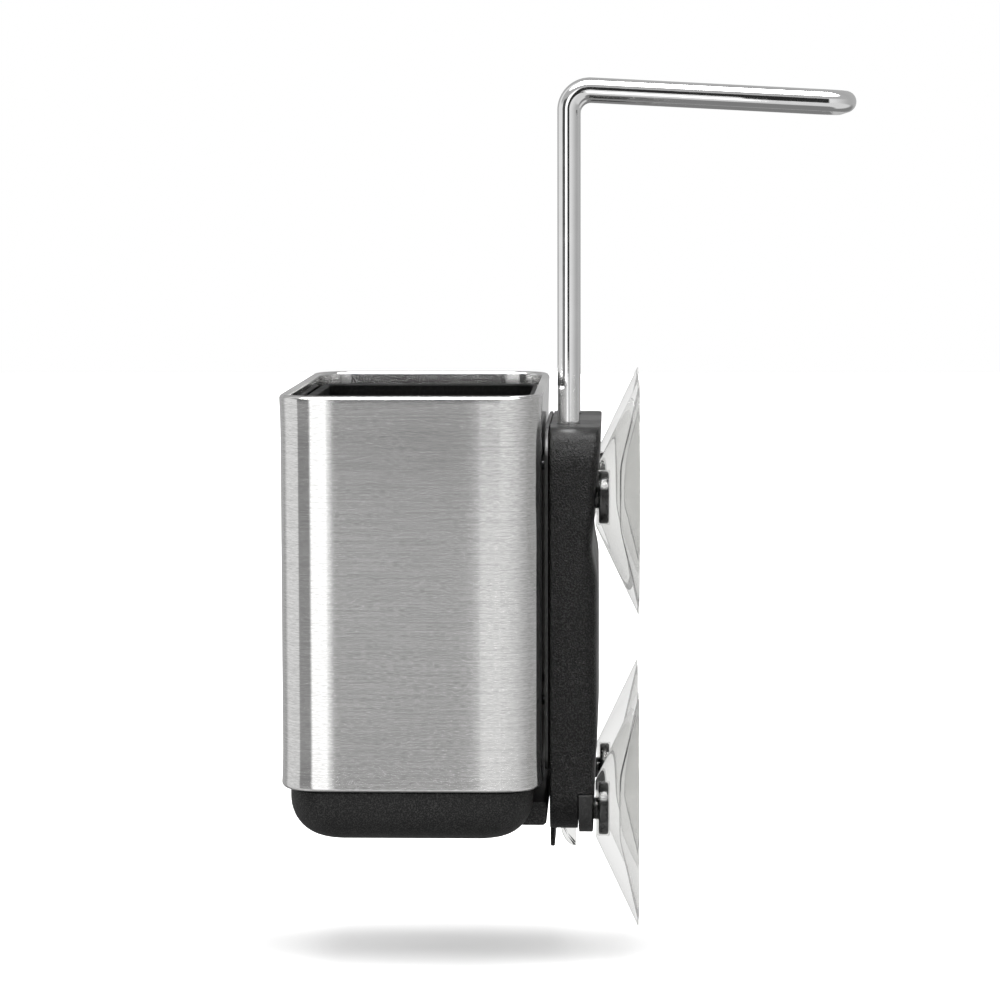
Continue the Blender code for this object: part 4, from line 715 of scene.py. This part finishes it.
# Base tub: a black moulding with a soft lower edge and a fine matt grain. Its spigot snaps over the
# sleeve's foot hem, a lug behind keeps the caddy upright, and slots in its floor let water out.
base_foot = -0.0487
base_wall = 0.002
base_roll = 0.012
share = np.linspace(0, 1, 25)
bow, drop = np.sin(share * np.pi / 2), np.cos(share * np.pi / 2)
roll_inset = 0.0023 + 0.0112 * (1 - bow)
roll_height = base_roll * (1 - drop)
roll_radius = 0.005 + 0.0047 * bow
inner_height = base_wall + roll_height * (1 - base_wall / base_roll)
inner_roll = np.stack([roll_inset + base_wall, inner_height], axis=1)[::-1]
shoulder = np.array([
    (0.0023, 0.0139), (0.0024, 0.0142), (0.0028, 0.0144), (0.0030, 0.0144), (0.0030, 0.0174),
    (0.0013, 0.0174), (0.0013, 0.0181), (0.0025, 0.0186), (0.0046, 0.0186), (0.0046, 0.0144),
])
base_section = np.concatenate([np.stack([roll_inset, roll_height], axis=1), shoulder, inner_roll])
base_radii = np.concatenate([
    roll_radius, caddy_corner - shoulder[:, 0], np.maximum(roll_radius[::-1] - base_wall, 0.0003),
])
base = skin("base", caddy_rings(base_section, base_foot, base_radii))
lug_outline = np.array([
    (-0.0354, -0.0472), (-0.0263, -0.0472), (-0.0255, -0.0464), (-0.0255, -0.0416), (-0.0263, -0.0408),
    (-0.0304, -0.0408),
])
lug = plate_grid(eased(lug_outline, 0.0004, 4, ring=True), -0.038, 0.038, 0, "x")
liner_rests = [
    box_grid((low, -0.0828, -0.0477), (high, -0.0411, -0.0319))
    for low, high in ((-0.0308, -0.0292), (0.0292, 0.0308))
]
carve(base, "UNION", [lug, *liner_rests])


def slot_grids(count, pitch, length, middle_x, low, high):
    """Grids of 3 mm wide round-ended slots in a row along X, each running front to back: slot i of n lies
    (i - (n - 1) / 2) pitches from the row's middle."""
    half_width, end_radius = 0.0015, 0.00149
    outline = rounded_outline(half_width, length / 2, end_radius, 8)
    middles = middle_x + (np.arange(count) - (count - 1) / 2) * pitch
    return [plate_grid(outline + (x, caddy_middle_y), low, high, 0, "z") for x in middles]


carve(base, "DIFFERENCE", slot_grids(7, 0.012, 0.018, 0, -0.0517, -0.0457))
base_finish = grained_plastic(
    "base_plastic", (0.0012, 0.0012, 0.0012), (0.038, 0.038, 0.0369),
    grain=3200, depth=0.0001, rough=0.44, gloss=0.28,
)
settle(base, base_finish, "caddy", "base_plastic", "base_tub")


# Inner liner: a lift-out tub of black plastic inside the sleeve, drafted so that it leaves its mould, with
# a rolled foot, a stiff rim, a slotted floor and two pairs of ribs that hold the divider.
liner_foot, liner_top, liner_floor = -0.0316, 0.0693, -0.0298
liner_wall = 0.0016
foot_round = 0.004
floor_turn = -0.0276
guide_depth, guide_root, guide_width = 0.0026, 0.0008, 0.0014


def liner_inset(z):
    """Inset of the liner's outside: it grows by 1 mm from the top to the foot."""
    return 0.0031 + 0.001 * (liner_top - z) / (liner_top - liner_foot)


turn = np.linspace(0, np.pi / 2, 12)
foot_z = liner_foot + foot_round * (1 - np.cos(turn))
turn_inset = liner_inset(floor_turn)
liner_section = np.concatenate([
    np.stack([liner_inset(foot_z) + foot_round * (1 - np.sin(turn)), foot_z], axis=1),
    [
        (liner_inset(0.0668), 0.0668), (0.0025, 0.0674), (0.0025, 0.0688), (0.0028, liner_top),
        (0.0043, liner_top), (0.0047, 0.0689), (turn_inset + liner_wall, floor_turn),
        (turn_inset + 0.0022, -0.0290), (turn_inset + 0.0038, liner_floor),
    ],
])
liner = skin("liner", caddy_rings(liner_section, 0))
guide_z = np.array([-0.0307, 0.0402])
guide_far = caddy_half_depth - liner_inset(guide_z) - liner_wall
guides = []
for face in (-1, 1):
    near_y = caddy_middle_y + face * (guide_far - guide_depth)
    wall_y = caddy_middle_y + face * (guide_far + guide_root)
    guide = np.array([
        (near_y[0], guide_z[0]), (near_y[1], guide_z[1]), (wall_y[1], guide_z[1]), (wall_y[0], guide_z[0]),
    ])
    guides += [plate_grid(guide, low, low + guide_width, 0, "x") for low in (-0.0246, -0.0208)]
carve(liner, "UNION", guides)
brush_drains = slot_grids(2, 0.010, 0.030, -0.04071, -0.0326, -0.0268)
sponge_drains = slot_grids(6, 0.010, 0.030, 0.01871, -0.0326, -0.0268)
carve(liner, "DIFFERENCE", brush_drains + sponge_drains)
liner_finish = grained_plastic(
    "liner_plastic", (0.0015, 0.0015, 0.0015), (0.005, 0.005, 0.0049),
    grain=1300, depth=0.00003, rough=0.5, gloss=0.1,
)
settle(liner, liner_finish, "liner", "liner_plastic", "inner_liner")


# Divider: a flat plate of the liner's plastic that drops between its ribs and parts the brushes from the
# sponge. Its top edge is scooped so that a finger can lift it.
divider_foot, divider_head = -0.0295, 0.0525
divider_inset = 0.0019
divider_corner = 0.005
head_chamfer = 0.001
scoop_depth = 0.010
head_land = 0.011
foot_half = caddy_half_depth - liner_inset(divider_foot + divider_corner) - divider_inset
head_half = caddy_half_depth - liner_inset(divider_head) - divider_inset
turn = np.linspace(-np.pi / 2, 0, 9)
corner_points = np.stack([
    foot_half - divider_corner * (1 - np.cos(turn)), divider_foot + divider_corner * (1 + np.sin(turn)),
], axis=1)
share = np.linspace(0, 1, 33)
dip = (1 - np.cos(np.pi * share)) / 2
scoop_points = np.stack([(head_half - head_land) * (1 - share), divider_head - scoop_depth * dip], axis=1)
head_points = [(head_half, divider_head - head_chamfer), (head_half - head_chamfer, divider_head)]
right_side = np.concatenate([corner_points, head_points, scoop_points])
left_side = right_side[-2::-1] * (-1, 1)
divider_outline = np.concatenate([right_side, left_side]) + (caddy_middle_y, 0)
divider = skin("divider_plate", plate_grid(divider_outline, -0.0229, -0.0211, 0.0004, "x"))
settle(divider, liner_finish, "divider", "liner_plastic", "divider")


# Studio: a pale floor below the caddy, with a painted shadow in its glow, even light all round, a soft lamp
# overhead, and two low panels in front that the sleeve mirrors. Polished and brushed pieces mirror a ring of
# pale grey with brighter and darker windows in it, as from the cards and cloths of a photo table.
floor_z = -0.0905
floor_span = np.array([(3.0, 3.0), (-3.0, 3.0), (-3.0, -3.0), (3.0, -3.0)])
floor = skin("floor", plate_grid(floor_span, floor_z - 0.01, floor_z, 0, "z"))
floor_finish, floor_tree, floor_shader = new_finish("floor_paper", {
    "Roughness": 0.9, "Specular IOR Level": 0.1, "Emission Color": (1, 1, 1, 1),
})

# The floor glows for the camera, and least along the line X = -5 mm, where the shadow lies: the dimmer glow
# there is a painted shadow. All other rays see the floor a darker grey, so it sends less light up under the
# caddy.
seen = node(floor_tree, "LightPath").outputs["Is Camera Ray"]
floor_tree.links.new(tinted(floor_tree, seen, (0.42,) * 3, (0.93,) * 3), floor_shader.inputs["Base Color"])
place = node(floor_tree, "TexCoord").outputs["Object"]
spot = node(floor_tree, "SeparateXYZ", {"Vector": place}).outputs["X"]
off_line = node(floor_tree, "Math", {0: spot, 1: 0.005}, operation="ADD").outputs["Value"]
off_line = node(floor_tree, "Math", {0: off_line}, operation="ABSOLUTE").outputs["Value"]
# Painted shadow: the camera's glow falls to its least along this line.
floor_glow_painted_shadow = ranged(floor_tree, off_line, 0.004, 0.055, 0.24, 1.1)
lift = node(floor_tree, "Math", {0: seen, 1: floor_glow_painted_shadow}, operation="MULTIPLY").outputs["Value"]
floor_tree.links.new(lift, floor_shader.inputs["Emission Strength"])
floor.data.materials.append(floor_finish)
floor.visible_glossy = False
floor.visible_transmission = False

world = bpy.data.worlds.new("studio_light")
bpy.context.scene.world = world
world.use_nodes = True
sky = world.node_tree
sky.nodes.clear()
toward = node(sky, "SeparateXYZ", {"Vector": node(sky, "TexCoord").outputs["Generated"]})
turn_math = node(sky, "Math", {0: toward.outputs["Y"], 1: toward.outputs["X"]}, operation="ARCTAN2")
turn_angle = turn_math.outputs["Value"]
rise_angle = node(sky, "Math", {0: toward.outputs["Z"]}, operation="ARCSINE").outputs["Value"]


def opening(angle, middle, half, soft):
    """How far a direction lies inside an opening, from 0 outside to 1 inside, with a soft edge."""
    off = node(sky, "Math", {0: angle, 1: middle}, operation="SUBTRACT").outputs["Value"]
    away = node(sky, "Math", {0: off}, operation="ABSOLUTE").outputs["Value"]
    return ranged(sky, away, half - soft, half + soft, 1, 0)


def shade(open_share, before, level):
    """Gives one part of the surroundings its own level, by how far a direction lies inside it."""
    return node(sky, "Mix", {0: open_share, 2: before, 3: level}, data_type="FLOAT").outputs[0]


def band(rise, half_height, soft):
    """A level band all round, by the angle of its middle, half its height and its soft edge in degrees."""
    return opening(rise_angle, np.radians(rise), np.radians(half_height), np.radians(soft))


def window(azimuth, half_width, rise, half_height, soft):
    """A soft-edged window, by its middle and half size in degrees each way. The camera is at azimuth 0."""
    wide = opening(turn_angle, np.radians(azimuth), np.radians(half_width), np.radians(soft))
    tall = band(rise, half_height, soft)
    return node(sky, "Math", {0: wide, 1: tall}, operation="MULTIPLY").outputs["Value"]


# Each band or window is laid over the ones before it.
side_angle = node(sky, "Math", {0: turn_angle}, operation="ABSOLUTE").outputs["Value"]
level = ranged(sky, turn_angle, np.radians(10), np.radians(105), 0.92, 0.48)
behind = opening(side_angle, np.radians(180), np.radians(60), np.radians(10))
level = shade(behind, level, 0.5)
level = shade(band(-90, 66, 6), level, 0.8)
level = shade(band(-90, 20, 5), level, 0.25)
low_behind = node(sky, "Math", {0: behind, 1: band(-60, 42, 8)}, operation="MULTIPLY").outputs["Value"]
level = shade(low_behind, level, 0.25)
level = shade(window(0, 95, 30, 15, 6), level, 0.5)
level = shade(band(90, 8, 3), level, 0.5)
level = shade(window(0, 70, 66, 20, 6), level, 16.0)
level = shade(window(-19.5, 10.5, -5, 25, 1.5), level, 1.6)
darker_upwards = ranged(sky, rise_angle, np.radians(-6), np.radians(1), 0.45, 0.08)
level = shade(window(-47, 15, -5, 25, 2), level, darker_upwards)
level = shade(window(2.9, 10.4, -8, 22, 1), level, 0.03)
shine = node(sky, "CombineColor", {"Red": level, "Green": level, "Blue": level}).outputs["Color"]

# Plain light from the world is an even grey. The camera and clear pieces see white, and what a piece
# mirrors is the ring of windows.
path = node(sky, "LightPath")
even = node(sky, "Background", {"Color": (0.80, 0.80, 0.80, 1), "Strength": 1.0})
white = node(sky, "Background", {"Color": (1, 1, 1, 1), "Strength": 1.0})
mirrored = node(sky, "Background", {"Color": shine, "Strength": 1.0})
clear_ray = node(sky, "Math", {
    0: path.outputs["Is Camera Ray"], 1: path.outputs["Is Transmission Ray"],
}, operation="MAXIMUM").outputs["Value"]
after_mirror = node(sky, "Math", {
    0: path.outputs["Glossy Depth"], 1: 0.5,
}, operation="GREATER_THAN").outputs["Value"]
first_mix = node(sky, "MixShader", {0: clear_ray, 1: even.outputs[0], 2: white.outputs[0]})
second_mix = node(sky, "MixShader", {0: after_mirror, 1: first_mix.outputs[0], 2: mirrored.outputs[0]})
node(sky, "OutputWorld", {"Surface": second_mix.outputs[0]})

lamps = (
    ("top_lamp", (0.7, 0.6), 6.0, (0.38, 0.0, 0.95), (0, 0, 0)),
    ("side_panel", (0.31, 0.0875), 0.0785, (0.3625, -0.0098, -0.095), (0, np.pi / 2, 0)),
    ("front_panel", (0.31, 0.0735), 0.0330, (0.3625, -0.0903, -0.095), (0, np.pi / 2, 0)),
)
for name, size, power, place, turn in lamps:
    lamp_data = bpy.data.lights.new(name, "AREA")
    lamp_data.shape = "RECTANGLE"
    lamp_data.size, lamp_data.size_y = size
    lamp_data.energy = power
    lamp = bpy.data.objects.new(name, lamp_data)
    lamp.location = place
    lamp.rotation_euler = turn
    lamp.visible_camera = False
    bpy.context.scene.collection.objects.link(lamp)

camera_data = bpy.data.cameras.new("camera")
camera_data.sensor_width = 36
camera_data.lens = 121.1
camera = bpy.data.objects.new("camera", camera_data)
camera_place = (0.9551, -0.0058, 0.1284)
yaw, pitch, roll = np.radians((2.025, 5.315, -0.118))
ahead = np.array([-np.cos(pitch) * np.cos(yaw), -np.cos(pitch) * np.sin(yaw), -np.sin(pitch)])
across = np.cross(ahead, (0, 0, 1))
across /= np.linalg.norm(across)
above = np.cross(across, ahead)
right = across * np.cos(roll) + above * np.sin(roll)
above = np.cross(right, ahead)
turned_to = np.eye(4)
turned_to[:3, :3] = np.stack([right, above, -ahead], axis=1)
turned_to[:3, 3] = camera_place
camera.matrix_world = Matrix(turned_to.tolist())
bpy.context.scene.collection.objects.link(camera)
bpy.context.scene.camera = camera
bpy.context.scene.view_settings.view_transform = "Standard"

bpy.context.view_layer.update()
